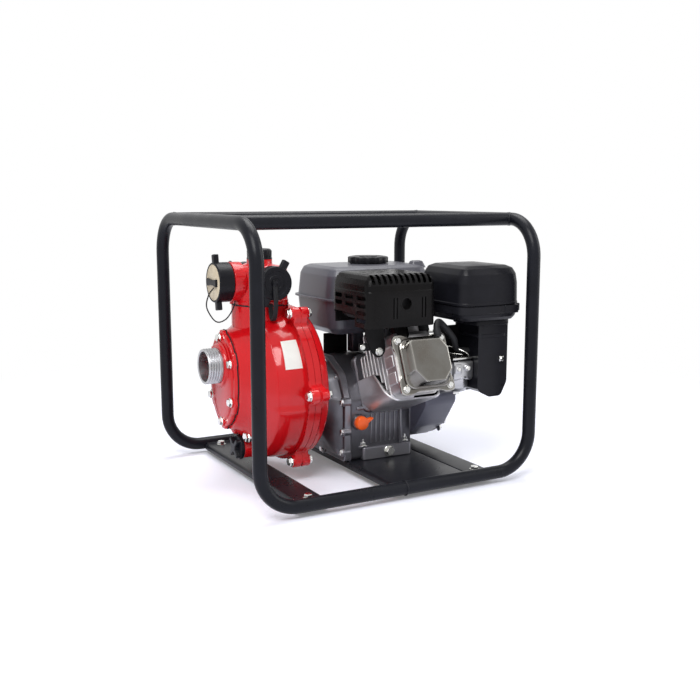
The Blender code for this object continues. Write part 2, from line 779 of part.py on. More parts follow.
def discharge_manifold():
    seat = SEAT_RISE + GAP
    top = MANIFOLD_TOP_RISE
    column = [(seat, MANIFOLD_FLANGE_D), (seat + MANIFOLD_FLANGE_T, MANIFOLD_FLANGE_D)]
    crown = MANIFOLD_CROWN
    column += [(seat + MANIFOLD_FLANGE_T + SHOULDER, MANIFOLD_D), (top - crown, MANIFOLD_D)]
    column += [(top - crown * 0.63, MANIFOLD_D * 0.85), (top - crown * 0.56, PRIMING_PLUG_D)]
    column += [(top, PRIMING_PLUG_D)]
    manifold = solid("discharge_manifold", turned(ALONG_Z, MANIFOLD, column, 24), "pump_red")
    end_mouth = -END_CAP_REACH + CAP_WALL + RUNNING_GAP
    side_mouth = SIDE_CAP_REACH - CAP_WALL - RUNNING_GAP
    join(manifold, turned(ALONG_X, OUTLET, [(end_mouth, END_OUTLET_D), (0.0, END_OUTLET_D)], 20))
    sides = [(-side_mouth, SIDE_OUTLET_D), (side_mouth, SIDE_OUTLET_D)]
    join(manifold, turned(ALONG_Y, OUTLET, sides, 20))
    spare = 0.005
    column_bore = [(seat - spare, MANIFOLD_BORE_D), (top - crown * 1.25, MANIFOLD_BORE_D)]
    cut(manifold, turned(ALONG_Z, MANIFOLD, column_bore, 20))
    plug_bore = [(top - crown * 1.5, PLUG_HOLE_D), (top + spare, PLUG_HOLE_D)]
    cut(manifold, turned(ALONG_Z, MANIFOLD, plug_bore, 14))
    end_bore = [(end_mouth - spare, END_OUTLET_BORE_D), (0.0, END_OUTLET_BORE_D)]
    cut(manifold, turned(ALONG_X, OUTLET, end_bore, 16))
    through = side_mouth + spare
    side_bore = [(-through, SIDE_OUTLET_BORE_D), (through, SIDE_OUTLET_BORE_D)]
    cut(manifold, turned(ALONG_Y, OUTLET, side_bore, 16))


def outlet_cap(name, axes, outward, outlet_d, cap_d, depth, reach, phase):
    """Screw cap: a cup over an outlet, with two square lugs to turn it by."""
    radius = cap_d / 2
    lugs = lugged(radius, 2, radius + CAP_LUG_REACH, CAP_LUG_WIDTH, phase, 7)
    plain = circle_like(lugs, radius)
    inner = circle_like(lugs, outlet_d / 2 + RUNNING_GAP)
    mouth = reach - depth
    lug_near = reach - 0.002
    lug_far = lug_near - CAP_LUG_LENGTH
    sections = [(reach - CAP_WALL, inner), (mouth, inner), (mouth, plain)]
    sections += [(lug_far - SHOULDER, plain), (lug_far, lugs), (lug_near, lugs)]
    sections += [(lug_near + SHOULDER, plain), (reach - 0.001, plain)]
    sections += [(reach, circle_like(lugs, radius - 0.001))]
    outer = [(outward * at, outline) for at, outline in sections]
    solid(name, lofted(axes, OUTLET, outer), "black_plastic", OUTLET.copy())


def caps_and_plug():
    end = (END_OUTLET_D, END_CAP_D, END_CAP_DEPTH, END_CAP_REACH)
    side = (SIDE_OUTLET_D, SIDE_CAP_D, SIDE_CAP_DEPTH, SIDE_CAP_REACH)
    outlet_cap("outlet_cap_end", ALONG_X, -1, *end, math.radians(90))
    outlet_cap("outlet_cap_near", ALONG_Y, -1, *side, math.radians(60))
    outlet_cap("outlet_cap_far", ALONG_Y, 1, *side, math.radians(120))

    seat = MANIFOLD_TOP_RISE + GAP
    stem = PLUG_HOLE_D - 2 * RUNNING_GAP
    profile = [(seat - 0.014, stem), (seat, stem), (seat, PRIMING_PLUG_D)]
    profile += [(seat + PRIMING_PLUG_H - 0.002, PRIMING_PLUG_D)]
    profile += [(seat + PRIMING_PLUG_H, PRIMING_PLUG_D - 0.004)]
    solid("priming_plug", turned(ALONG_Z, MANIFOLD, profile, 20), "black_plastic", MANIFOLD.copy())


def tethers():
    """Thin cord of the end cap and flat strap of the near cap, both held at their two ends."""
    face = OUTLET + Vector((-END_CAP_REACH - TETHER_D / 2 - GAP, 0, 0))
    aside = 0.012
    drop = math.sqrt((END_OUTLET_D / 2) ** 2 - aside**2) + TETHER_D / 2 + GAP
    root = OUTLET + Vector((END_CAP_DEPTH - END_CAP_REACH + 0.002, -aside, -drop))
    stops = [face + Vector((0, -0.006, -0.008)), face + Vector((-0.011, -0.010, -0.020))]
    stops += [face + Vector((-0.015, -aside, -0.040)), face + Vector((0.000, -aside, -0.063))]
    stops += [face + Vector((0.018, -aside, -0.060)), root + Vector((-0.004, 0, -0.016)), root]
    tube("tether_end", smooth_route(stops, 3), TETHER_D, "rubber", 2)

    face = OUTLET + Vector((-0.003, -SIDE_CAP_REACH - STRAP_T / 2 - GAP, 0))
    rise = SEAT_RISE + MANIFOLD_FLANGE_T / 2
    flange = MANIFOLD + Vector((-0.003, -MANIFOLD_FLANGE_D / 2 - STRAP_T / 2 - GAP, rise))
    stops = [face, face + Vector((0, -0.002, -0.026)), face + Vector((0, 0.0005, -0.048))]
    stops += [face + Vector((0, 0.0073, -0.060)), flange + Vector((0, -0.0042, -0.023))]
    stops += [flange + Vector((0, -0.0005, -0.009)), flange]
    route = smooth_route(stops, 3)
    rings = []
    for k, point in enumerate(route):
        ahead = (route[min(k + 1, len(route) - 1)] - route[max(k - 1, 0)]).normalized()
        across = Vector((STRAP_WIDTH / 2, 0, 0))
        out = across.cross(ahead).normalized() * (STRAP_T / 2)
        corners = (across + out, out - across, -across - out, across - out)
        rings.append([point + corner for corner in corners])
    solid("tether_near", loft(rings), "rubber")


def drain_knob():
    grip = lugged(DRAIN_KNOB_D * 0.38, 4, DRAIN_KNOB_D / 2, 0.012, math.pi / 4, 2)
    stem = circle_like(grip, DRAIN_STEM_D / 2)
    seat = DRAIN_FACE_X - GAP
    face = seat - DRAIN_KNOB_T
    sections = [(seat + 0.012, stem), (seat, stem), (seat, circle_like(grip, DRAIN_KNOB_D / 2))]
    sections += [(seat - DRAIN_KNOB_T * 0.45, circle_like(grip, DRAIN_KNOB_D / 2))]
    sections += [(seat - DRAIN_KNOB_T * 0.5, grip), (face, scaled(grip, 0.92))]
    solid("drain_knob", lofted(ALONG_X, DRAIN, sections), "black_plastic", DRAIN.copy())


def pump_pieces():
    pump_casing()
    pump_bracket()
    suction_cover()
    wet_end()
    discharge_manifold()
    caps_and_plug()
    tethers()
    drain_knob()


# Engine

def case_outline():
    """Outline of the crankcase about the crank's axis, as seen along +X."""
    low = -CRANK_HEIGHT
    wide = CASE_HALF_WIDTH
    near = [(-wide, low * 0.5), (-wide, 0.0), (-wide * 0.72, CASE_TOP * 0.65)]
    top = [(-wide * 0.15, CASE_TOP), (wide * 0.65, CASE_TOP * 0.97), (wide, CASE_TOP * 0.45)]
    return [(wide, low * 0.5), (wide, low), (-wide, low), *near, *top]


def fins(start, count, core):
    """Sections of a finned block: wide fins with narrow grooves between them."""
    wide = rounded_rectangle(FIN_WIDTH, FIN_WIDTH, 0.010)
    narrow = rounded_rectangle(core, core, 0.010)
    sections = []
    for k in range(count):
        at = start + k * FIN_PITCH
        sections += [(at, narrow), (at + FIN_PITCH * 0.5, narrow)]
        sections += [(at + FIN_PITCH * 0.5 + SHOULDER, wide), (at + FIN_PITCH - SHOULDER, wide)]
    return sections


def crankcase():
    outline = case_outline()
    pocket = scaled(outline, 1 - CASE_WALL / CASE_HALF_WIDTH)
    axis = Vector((0, CRANK.y, CRANK.z))
    floor_x = CASE_MAX_X - CASE_WALL
    sections = [(floor_x, pocket), (CASE_MIN_X, pocket)]
    sections += [(CASE_MIN_X, outline), (CASE_MAX_X, outline)]
    case = solid("crankcase", lofted(ALONG_X, axis, sections), "cast_alloy")

    wide = CASE_HALF_WIDTH + FOOT_FLANGE_MARGIN
    low = axis + Vector((CASE_MIN_X + 0.022, -wide, -CRANK_HEIGHT))
    high = axis + Vector((CASE_MAX_X, wide, -CRANK_HEIGHT + FOOT_FLANGE_H))
    join(case, block(low, high))
    start = DECK - BARREL_FINS * FIN_PITCH
    barrel = fins(start, BARREL_FINS, FIN_WIDTH - 2 * FIN_DEPTH)
    barrel.insert(0, (BORE, barrel[0][1]))
    barrel.append((DECK, barrel[-1][1]))
    join(case, lofted(ALONG_CYLINDER, CYLINDER, barrel))
    boss_y = -CASE_HALF_WIDTH - DIPSTICK_BOSS
    dipstick = axis + Vector((DIPSTICK_X, 0, -DIPSTICK_DROP))
    boss = [(boss_y, DIPSTICK_D), (boss_y + 0.010, DIPSTICK_D)]
    join(case, turned(ALONG_Y, dipstick, boss, 14))

    hollow = [(CASE_MIN_X - CASE_WALL, pocket), (floor_x, pocket)]
    cut(case, lofted(ALONG_X, axis, hollow))
    bore = [(STROKE / 2, BORE + 2 * GAP), (DECK + CASE_WALL, BORE + 2 * GAP)]
    cut(case, turned(ALONG_CYLINDER, CYLINDER, bore, 24))
    journal_d = JOURNAL_D + 2 * GAP
    journal = [(floor_x - CASE_WALL, journal_d), (CASE_MAX_X + CASE_WALL, journal_d)]
    cut(case, turned(ALONG_X, axis, journal, 20))
    hole = DIPSTICK_STEM_D + 2 * RUNNING_GAP
    cut(case, turned(ALONG_Y, dipstick, [(boss_y - 0.005, hole), (boss_y + 0.020, hole)], 12))


def side_cover():
    outline = radial(case_outline(), 30)
    back = CASE_MIN_X - GAP
    face = PTO_X
    depth = back - face
    bore = circle_like(outline, JOURNAL_D / 2 + GAP)
    wall = 1 - 1.8 * CASE_WALL / CASE_HALF_WIDTH
    sections = [(back, outline), (back - depth * 0.2, outline)]
    sections += [(back - depth * 0.2 - SHOULDER, scaled(outline, 0.93))]
    sections += [(back - depth * 0.5, scaled(outline, 0.80))]
    sections += [(back - depth * 0.7, circle_like(outline, PTO_FACE_D * 0.54))]
    sections += [(face, circle_like(outline, PTO_FACE_D / 2)), (face, bore), (face + CASE_WALL, bore)]
    sections += [(face + CASE_WALL, circle_like(outline, PTO_FACE_D * 0.4))]
    sections += [(back - depth * 0.45, scaled(outline, 0.80 * wall)), (back, scaled(outline, wall))]
    axis = Vector((0, CRANK.y, CRANK.z))
    solid("side_cover", lofted(ALONG_X, axis, sections, True), "cast_alloy")


def cylinder_head():
    start = DECK + GAP
    sections = fins(start, HEAD_FINS, FIN_WIDTH - 2 * FIN_DEPTH)
    after = start + HEAD_FINS * FIN_PITCH
    box = rounded_rectangle(FIN_WIDTH, FIN_WIDTH - 2 * FIN_DEPTH, 0.010)
    sections += [(after, box), (HEAD_END, box)]
    solid("cylinder_head", lofted(ALONG_CYLINDER, CYLINDER, sections), "cast_alloy")


def valve_cover():
    seat = HEAD_END + GAP
    face = seat + COVER_FLANGE_T + COVER_DEPTH
    flange = rounded_rectangle(COVER_FLANGE_WIDTH, COVER_FLANGE_HEIGHT, 0.016)
    inside = rounded_rectangle(COVER_FLANGE_WIDTH - 0.026, COVER_FLANGE_HEIGHT - 0.026, 0.010)
    foot = rounded_rectangle(COVER_FLANGE_WIDTH - 0.016, COVER_FLANGE_HEIGHT - 0.016, 0.014)
    brow = rounded_rectangle(COVER_FLANGE_WIDTH - 0.020, COVER_FLANGE_HEIGHT - 0.020, 0.018)
    panel = rounded_rectangle(COVER_FLANGE_WIDTH - 0.034, COVER_FLANGE_HEIGHT - 0.030, 0.016)
    shoulder = seat + COVER_FLANGE_T
    sections = [(face - COVER_WALL, scaled(panel, 0.9)), (seat, inside)]
    sections += [(seat, flange), (shoulder, flange), (shoulder + SHOULDER, foot)]
    sections += [(shoulder + COVER_DEPTH * 0.65, brow), (face, panel)]
    solid("valve_cover", lofted(ALONG_CYLINDER, CYLINDER, sections), "zinc_plate")


def rotating_parts():
    """Crankshaft as one run of round steps along X, with the crankpin off the axis."""
    axis = Vector((0, CRANK.y, CRANK.z))
    throw = ALONG_CYLINDER[0] * (STROKE / 2)
    half_pin = CRANKPIN_LENGTH / 2
    web_out = half_pin + WEB_T
    end_x = BLOWER_BACK + FLYWHEEL_T + 0.010
    nose = FLANGE_X - DIFFUSER_LENGTH + 0.002
    steps = [(nose, SHAFT_D, 0), (CASE_MIN_X - PTO_LENGTH / 2, SHAFT_D, 0)]
    slim = JOURNAL_D - 0.001
    steps += [(CASE_MIN_X - PTO_LENGTH / 2 + SHOULDER, slim, 0)]
    steps += [(CYLINDER_X - web_out, slim, 0), (CYLINDER_X - web_out + SHOULDER, WEB_D, 0)]
    steps += [(CYLINDER_X - half_pin, WEB_D, 0), (CYLINDER_X - half_pin + SHOULDER, CRANKPIN_D, 1)]
    steps += [(CYLINDER_X + half_pin - SHOULDER, CRANKPIN_D, 1), (CYLINDER_X + half_pin, WEB_D, 0)]
    steps += [(CYLINDER_X + web_out - SHOULDER, WEB_D, 0), (CYLINDER_X + web_out, JOURNAL_D, 0)]
    steps += [(end_x, JOURNAL_D, 0)]
    rings = [ring(ALONG_X, axis + throw * off, at, circle(d / 2, 16)) for at, d, off in steps]
    shaft = solid("crankshaft", loft(rings), "steel", axis)
    gear = toothed(CRANK_TEETH, GEAR_MODULE, 0.0)
    gear_x = CASE_MIN_X + 0.004
    wheel = lofted(ALONG_X, axis, [(gear_x, gear), (gear_x + GEAR_WIDTH, gear)])
    join(shaft, wheel)

    back = BLOWER_BACK + 0.006
    blades = lugged(FLYWHEEL_D * 0.33, FLYWHEEL_BLADES, FLYWHEEL_D / 2 - 0.002, 0.004, 0.0, 1)
    hole = circle_like(blades, (JOURNAL_D / 2 + GAP) / math.cos(math.pi / FLYWHEEL_BLADES))
    rim = circle_like(blades, FLYWHEEL_D / 2)
    disc = back + FLYWHEEL_T * 0.45
    sections = [(back, hole), (back, rim), (disc, rim), (disc + SHOULDER, blades)]
    sections += [(back + FLYWHEEL_T, blades), (back + FLYWHEEL_T, hole)]
    solid("flywheel", lofted(ALONG_X, axis, sections, True), "cast_alloy", axis)


def camshaft():
    centres = (CRANK_TEETH + CAM_TEETH) * GEAR_MODULE / 2 + GEAR_BACKLASH
    axis = Vector((0, CRANK.y, CRANK.z - centres))
    wide = CAM_SHAFT_D + 0.004
    last = CASE_MAX_X - CASE_WALL - GAP
    first = CASE_MIN_X + 0.020
    steps = [(CASE_MIN_X + 0.002, CAM_SHAFT_D, 0.0), (first, CAM_SHAFT_D, 0.0)]
    for k, lift in enumerate((-CAM_LOBE_LIFT, CAM_LOBE_LIFT)):
        at = first + 0.012 * k
        steps += [(at + SHOULDER, wide, lift), (at + 0.008, wide, lift)]
        steps += [(at + 0.009, CAM_SHAFT_D, 0.0)]
    steps += [(last, CAM_SHAFT_D, 0.0)]
    rings = []
    for at, diameter, lift in steps:
        middle = axis + Vector((0, lift, 0))
        rings.append(ring(ALONG_X, middle, at, circle(diameter / 2, 12)))
    shaft = solid("camshaft", loft(rings), "steel", axis)
    gear = toothed(CAM_TEETH, GEAR_MODULE, math.pi / CAM_TEETH)
    gear_x = CASE_MIN_X + 0.004
    join(shaft, lofted(ALONG_X, axis, [(gear_x, gear), (gear_x + GEAR_WIDTH, gear)]))


def piston_and_rod():
    pin = STROKE / 2 + ROD_LENGTH
    outer = BORE - 2 * GAP
    inner = BORE - 2 * PISTON_WALL
    crown = pin + PISTON_CROWN
    skirt = pin - PISTON_SKIRT
    profile = [(crown, outer), (skirt, outer), (skirt, inner), (crown - PISTON_WALL, inner)]
    solid("piston", turned(ALONG_CYLINDER, CYLINDER, profile, 24), "cast_alloy")

    open_end = STROKE / 2 + CRANKPIN_D / 2 + 0.002
    shank = rounded_rectangle(0.012, 0.016, 0.002, 1)
    saddle = rounded_rectangle(0.018, 0.034, 0.002, 1)
    sections = [(open_end, saddle), (open_end + 0.006, saddle), (open_end + 0.014, shank)]
    sections += [(pin + 0.009, shank)]
    rod = solid("connecting_rod", lofted(ALONG_CYLINDER, CYLINDER, sections), "cast_alloy")
    half = math.sqrt((inner / 2 * math.cos(math.pi / 24)) ** 2 - (WRIST_PIN_D / 2) ** 2) - GAP
    ends = [(-half, WRIST_PIN_D), (half, WRIST_PIN_D)]
    join(rod, turned(ALONG_X, CYLINDER + ALONG_CYLINDER[0] * pin, ends, 12))


def blower_outline():
    """Outline of the blower housing about the crank's axis, with a toe under the carburettor."""
    r = BLOWER_RADIUS
    far = [polar(r, math.radians(a)) for a in (-80, -55, -30, -5, 20, 45)]
    corner = polar(RECOIL_D / 2 + SWITCH_ROOM * 2.2, SWITCH_ANGLE + math.radians(10))
    top = [(r * 0.34, r * 0.96), (-r * 0.56, r * 0.96), corner, (-r * 1.02, r * 0.077)]
    toe = [(-TOE_REACH, r * 0.077), (-TOE_REACH, -r * 0.096)]
    toe += [(-TOE_REACH * 0.73, -r * 0.55), (-r * 0.40, -r * 0.82)]
    return far + top + toe


def blower_housing():
    outline = blower_outline()
    axis = Vector((0, CRANK.y, CRANK.z))
    inner = scaled(outline, 1 - SHEET_T / BLOWER_RADIUS)
    hole = circle_like(outline, BLOWER_INTAKE_D / 2)
    inside = BLOWER_FRONT - SHEET_T
    sections = [(BLOWER_BACK, inner), (BLOWER_BACK, outline), (BLOWER_FRONT, outline)]
    sections += [(BLOWER_FRONT, hole), (inside, hole), (inside, inner)]
    solid("blower_housing", lofted(ALONG_X, axis, sections, True), "grey_paint")


def recoil_starter():
    axis = Vector((0, CRANK.y, CRANK.z))
    rim = BLOWER_FRONT + GAP
    face = rim + RECOIL_DEPTH
    wall = face - SHEET_T
    post = face - RECOIL_DEPTH * 0.75
    pulley_back = post + 0.002
    profile = [(post, RECOIL_POST_D), (wall, RECOIL_POST_D), (wall, RECOIL_D * 0.78)]
    profile += [(rim + RECOIL_DEPTH * 0.4, RECOIL_D - 2 * SHEET_T), (rim, RECOIL_D - 2 * SHEET_T)]
    profile += [(rim, RECOIL_D), (rim + RECOIL_DEPTH * 0.4, RECOIL_D), (face, RECOIL_D * 0.8)]
    cover = solid("recoil_cover", turned(ALONG_X, axis, profile, 28), "black_paint")
    rope = axis + Vector((rim + RECOIL_DEPTH * 0.5, 0, PULLEY_D / 2))
    half = RECOIL_DEPTH * 0.3
    reach = RECOIL_D / 2 + 0.003
    low = rope + Vector((-half, RECOIL_D * 0.40, -half))
    high = rope + Vector((half, reach, half))
    join(cover, block(low, high))

    bore = RECOIL_POST_D + 2 * GAP
    profile = [(pulley_back, bore), (pulley_back, PULLEY_D), (pulley_back + 0.003, PULLEY_D)]
    profile += [(pulley_back + PULLEY_T / 2, PULLEY_D * 0.84)]
    profile += [(pulley_back + PULLEY_T - 0.003, PULLEY_D)]
    profile += [(pulley_back + PULLEY_T, PULLEY_D), (pulley_back + PULLEY_T, bore)]
    solid("recoil_pulley", turned(ALONG_X, axis, profile, 24, True), "black_plastic", axis)

    start = reach + GAP
    depth = GRIP_DEPTH
    height = GRIP_HEIGHT
    stem = rounded_rectangle(GRIP_STEM, GRIP_STEM, GRIP_STEM * 0.43, 2)
    neck = rounded_rectangle(height * 1.1, height * 0.8, height * 0.35, 2)
    bar = rounded_rectangle(GRIP_LENGTH, height, height * 0.475, 2)
    back = rounded_rectangle(GRIP_LENGTH - height / 2, height * 0.7, height * 0.325, 2)
    sections = [(start, stem), (start + depth * 0.27, neck), (start + depth * 0.43, bar)]
    sections += [(start + depth * 0.8, bar), (start + depth, back)]
    solid("recoil_grip", lofted(ALONG_Y, rope, sections), "black_plastic", rope)


def engine_switch():
    across, up = polar(RECOIL_D / 2 + SWITCH_ROOM, SWITCH_ANGLE)
    place = Vector((BLOWER_FRONT + GAP, CRANK.y + across, CRANK.z + up))
    radius = SWITCH_D / 2
    grip = lugged(radius, 1, radius * 1.3, SWITCH_D * 0.31, SWITCH_ANGLE, 8)
    plain = circle_like(grip, radius)
    half = SWITCH_D * 0.375
    sections = [(0.0, plain), (half, plain), (half + SHOULDER, grip), (2 * half, grip)]
    solid("engine_switch", lofted(ALONG_X, place, sections), "black_plastic", place)


def fuel_tank():
    middle_x = TANK_MIN_X + TANK_LENGTH / 2
    middle_y = TANK_NEAR_Y + TANK_WIDTH / 2
    middle = Vector((middle_x, middle_y, CRANK.z + TANK_RISE))
    neck_shift = (NECK_X - middle.x, NECK_Y - middle.y)

    def section(at, shrink, lip=0.0, corner=0.030):
        grown = lip - 2 * shrink
        return (at, rounded_rectangle(TANK_LENGTH + grown, TANK_WIDTH + grown, corner))

    def neck(at, diameter):
        plain = circle(diameter / 2, 16, math.pi / 8 * 0.5)
        return (at, [(a + neck_shift[0], b + neck_shift[1]) for a, b in plain])

    seam = TANK_SEAM_RISE
    top = TANK_HEIGHT
    wall = TANK_WALL
    lip = 2 * TANK_SEAM_LIP
    sections = [section(0.0, 0.020), section(0.010, 0.009), section(seam - 0.002, 0.004)]
    sections += [section(seam - 0.0015, 0.004, lip), section(seam + 0.0015, 0.004, lip)]
    sections += [section(seam + 0.002, 0.004), section(top - 0.016, 0.008), section(top - 0.004, 0.014)]
    sections += [section(top, 0.024), neck(top + 0.0005, NECK_D), neck(top + NECK_H, NECK_D)]
    sections += [neck(top + NECK_H, NECK_D - 2 * wall), neck(top - wall, NECK_D - 2 * wall)]
    sections += [section(top - wall - 0.0005, 0.026), section(top - 0.017, 0.009 + wall)]
    sections += [section(seam, 0.004 + wall), section(0.012, 0.009 + wall), section(wall, 0.022)]
    tank = solid("fuel_tank", lofted(ALONG_Z, middle, sections), "black_paint")
    for x in (CYLINDER_X - 0.010, CYLINDER_X + 0.030):
        low = Vector((x - 0.012, CRANK.y + 0.008, CRANK.z + CASE_TOP + GAP))
        high = Vector((x + 0.012, CRANK.y + 0.028, middle.z + 0.001))
        join(tank, block(low, high))


def fuel_cap():
    place = Vector((NECK_X, NECK_Y, CRANK.z + TANK_RISE + TANK_HEIGHT))
    flutes = lugged(FUEL_CAP_D / 2 - 0.0015, CAP_FLUTES, FUEL_CAP_D / 2, 0.006, 0.0, 1)
    inner = circle_like(flutes, NECK_D / 2 + RUNNING_GAP)
    rim = NECK_H * 0.1
    ceiling = NECK_H + GAP
    top = rim + FUEL_CAP_H
    sections = [(ceiling, inner), (rim, inner), (rim, flutes), (top - 0.004, flutes)]
    sections += [(top - 0.001, circle_like(flutes, FUEL_CAP_D / 2 - 0.003))]
    sections += [(top, circle_like(flutes, FUEL_CAP_D / 2 - 0.007))]
    solid("fuel_cap", lofted(ALONG_Z, place, sections), "black_plastic", place)


def muffler_and_guard():
    middle_x = GUARD_MIN_X + GUARD_LENGTH / 2
    middle_y = GUARD_NEAR_Y + GUARD_WIDTH / 2
    middle = Vector((middle_x, middle_y, CRANK.z + GUARD_RISE))

    def shell(at, inset, corner=0.012):
        return (at, rounded_rectangle(GUARD_LENGTH - 2 * inset, GUARD_WIDTH - 2 * inset, corner))

    top = GUARD_HEIGHT
    sections = [shell(top - GUARD_T, 0.016), shell(top - 0.020, GUARD_T)]
    sections += [shell(0.0, GUARD_T), shell(0.0, 0.0), shell(top - 0.020, 0.0)]
    sections += [shell(top - 0.008, 0.004), shell(top, 0.015)]
    guard = solid("muffler_guard", lofted(ALONG_Z, middle, sections), "black_paint")
    low = middle + Vector((GUARD_T / 4 - GUARD_LENGTH / 2, TAB_INSET - GUARD_WIDTH / 2, -TAB_DROP))
    high = low + Vector((TAB_WIDTH, GUARD_T * 1.5, TAB_DROP + 0.006))
    join(guard, block(low, high))

    def can(at, inset):
        margin = MUFFLER_MARGIN + inset
        return (at, rounded_rectangle(GUARD_LENGTH - 2 * margin, GUARD_WIDTH - 2 * margin, 0.012))

    floor = MUFFLER_MARGIN
    roof = top - MUFFLER_MARGIN - GUARD_T
    sections = [can(floor, 0.006), can(floor + 0.006, 0.0), can(roof - 0.008, 0.0), can(roof, 0.010)]
    muffler = solid("muffler", lofted(ALONG_Z, middle, sections), "steel")
    post = [(roof - 0.004, 0.014), (top - GUARD_T - GAP, 0.014)]
    join(muffler, turned(ALONG_Z, middle, post, 10))
    port = CYLINDER + ALONG_CYLINDER[0] * (DECK + HEAD_LENGTH * 0.74)
    up_axes = (ALONG_CYLINDER[2], ALONG_CYLINDER[1], -ALONG_CYLINDER[0])
    head_top = FIN_WIDTH / 2 - FIN_DEPTH + GAP
    reach = (middle.z + floor - port.z) / ALONG_CYLINDER[2].z
    pipe = [(head_top, EXHAUST_D + 0.006), (head_top + 0.005, EXHAUST_D + 0.006)]
    pipe += [(head_top + 0.005 + SHOULDER, EXHAUST_D), (reach + 0.014, EXHAUST_D)]
    join(muffler, turned(up_axes, port + Vector((-0.020, 0, 0)), pipe, 14))


def air_cleaner():
    middle_x = LID_MIN_X + LID_LENGTH / 2
    middle_y = LID_NEAR_Y + LID_WIDTH / 2
    middle = Vector((middle_x, middle_y, CRANK.z + LID_RISE))

    def section(at, inset, corner=0.024):
        return (at, rounded_rectangle(LID_LENGTH - 2 * inset, LID_WIDTH - 2 * inset, corner))

    top = LID_HEIGHT
    sections = [section(top - LID_T, 0.020, 0.016), section(top - 0.014, LID_T + 0.003)]
    sections += [section(GAP, LID_T), section(GAP, 0.0), section(top - 0.022, 0.001)]
    sections += [section(top - 0.008, 0.006), section(top, 0.020, 0.018)]
    solid("air_cleaner_lid", lofted(ALONG_Z, middle, sections), "black_plastic", middle)

    floor = -TRAY_HEIGHT
    rim = TRAY_INSET + LID_T
    sections = [section(floor, 0.010), section(floor + 0.008, TRAY_INSET), section(0.0, TRAY_INSET)]
    sections += [section(0.0, rim), section(floor + TRAY_FLOOR, rim)]
    base = solid("air_cleaner_base", lofted(ALONG_Z, middle, sections), "black_plastic")
    elbow_x = CYLINDER_X + FIN_WIDTH / 2 + CARB_LENGTH + 2 * GAP
    low_z = CRANK.z + ELBOW_RISE
    high_z = middle.z + floor + 0.004
    chamfer = ELBOW_CHAMFER
    half = ELBOW_LENGTH / 2
    profile = [(-half, low_z + chamfer / 2), (-half + chamfer, low_z)]
    profile += [(half - chamfer / 2, low_z), (half, low_z + chamfer)]
    profile += [(half, high_z), (-half, high_z)]
    origin = Vector((elbow_x + half, ELBOW_NEAR_Y, 0))
    join(base, lofted(ALONG_Y, origin, [(0.0, profile), (ELBOW_WIDTH, profile)]))

    seat = floor + TRAY_FLOOR + GAP
    sections = [section(seat, 0.016, 0.016), section(top - 0.020, 0.016, 0.016)]
    sections += [section(top - 0.020, 0.030, 0.012), section(seat, 0.030, 0.012)]
    solid("air_filter", lofted(ALONG_Z, middle, sections, True), "filter_foam")


def carburetor():
    head_x = CYLINDER_X + FIN_WIDTH / 2 + GAP
    middle = Vector((head_x, CARB_Y, CRANK.z + CARB_RISE))
    throat = rounded_rectangle(CARB_WIDTH * 0.8, CARB_HEIGHT * 0.8, 0.008)
    body = rounded_rectangle(CARB_WIDTH, CARB_HEIGHT, 0.006)
    length = CARB_LENGTH
    sections = [(0.0, body), (0.006, body), (0.006 + SHOULDER, throat), (length * 0.35, throat)]
    sections += [(length * 0.35 + SHOULDER, body), (length, body)]
    carb = solid("carburetor", lofted(ALONG_X, middle, sections), "cast_alloy")
    bowl_top = -CARB_HEIGHT / 2 + 0.004
    bowl_bottom = bowl_top - BOWL_DEPTH
    bowl = [(bowl_top, BOWL_D), (bowl_top - BOWL_DEPTH * 0.7, BOWL_D), (bowl_bottom, BOWL_D * 0.6)]
    bowl += [(bowl_bottom - SHOULDER, BOWL_D * 0.3), (bowl_bottom - 0.005, BOWL_D * 0.3)]
    join(carb, turned(ALONG_Z, middle + Vector((length * 0.66, 0, 0)), bowl, 16))


def lever(name, axes, pivot, length, tip_width):
    """Flat lever with a round pivot end and a wider tip."""
    half = LEVER_WIDTH / 2
    outline = [polar(half, math.radians(90 + 30 * k)) for k in range(7)]
    wide = tip_width / 2
    outline += [(length * 0.6, -half * 0.6), (length * 0.7, -wide), (length, -wide)]
    outline += [(length, wide), (length * 0.7, wide), (length * 0.6, half * 0.6)]
    solid(name, lofted(axes, pivot, [(0.0, outline), (LEVER_T, outline)]), "steel", pivot)


def controls():
    blower_top = CRANK.z + BLOWER_RADIUS * 0.96
    across = CRANK.y - THROTTLE_OFFSET
    throttle = Vector((BLOWER_BACK + BLOWER_DEPTH * 0.35, across, blower_top + GAP))
    lever("throttle_lever", ALONG_Z, throttle, THROTTLE_LENGTH, THROTTLE_TIP)
    elbow_x = CYLINDER_X + FIN_WIDTH / 2 + CARB_LENGTH + ELBOW_LENGTH + 3 * GAP
    elbow_y = ELBOW_NEAR_Y + ELBOW_WIDTH / 2
    choke = Vector((elbow_x, elbow_y, CRANK.z + ELBOW_RISE + CHOKE_RISE))
    standing = (ALONG_X[0], ALONG_X[2], ALONG_X[1])
    lever("choke_lever", standing, choke, CHOKE_LENGTH, LEVER_WIDTH)
    far_face = CARB_Y + CARB_WIDTH / 2 + GAP
    cock_x = CYLINDER_X + FIN_WIDTH / 2 + CARB_LENGTH * 0.66
    cock = Vector((cock_x, far_face, CRANK.z + CARB_RISE))
    hanging = (ALONG_Y[0], -ALONG_Y[2], ALONG_Y[1])
    lever("fuel_cock_lever", hanging, cock, COCK_LENGTH, LEVER_WIDTH)


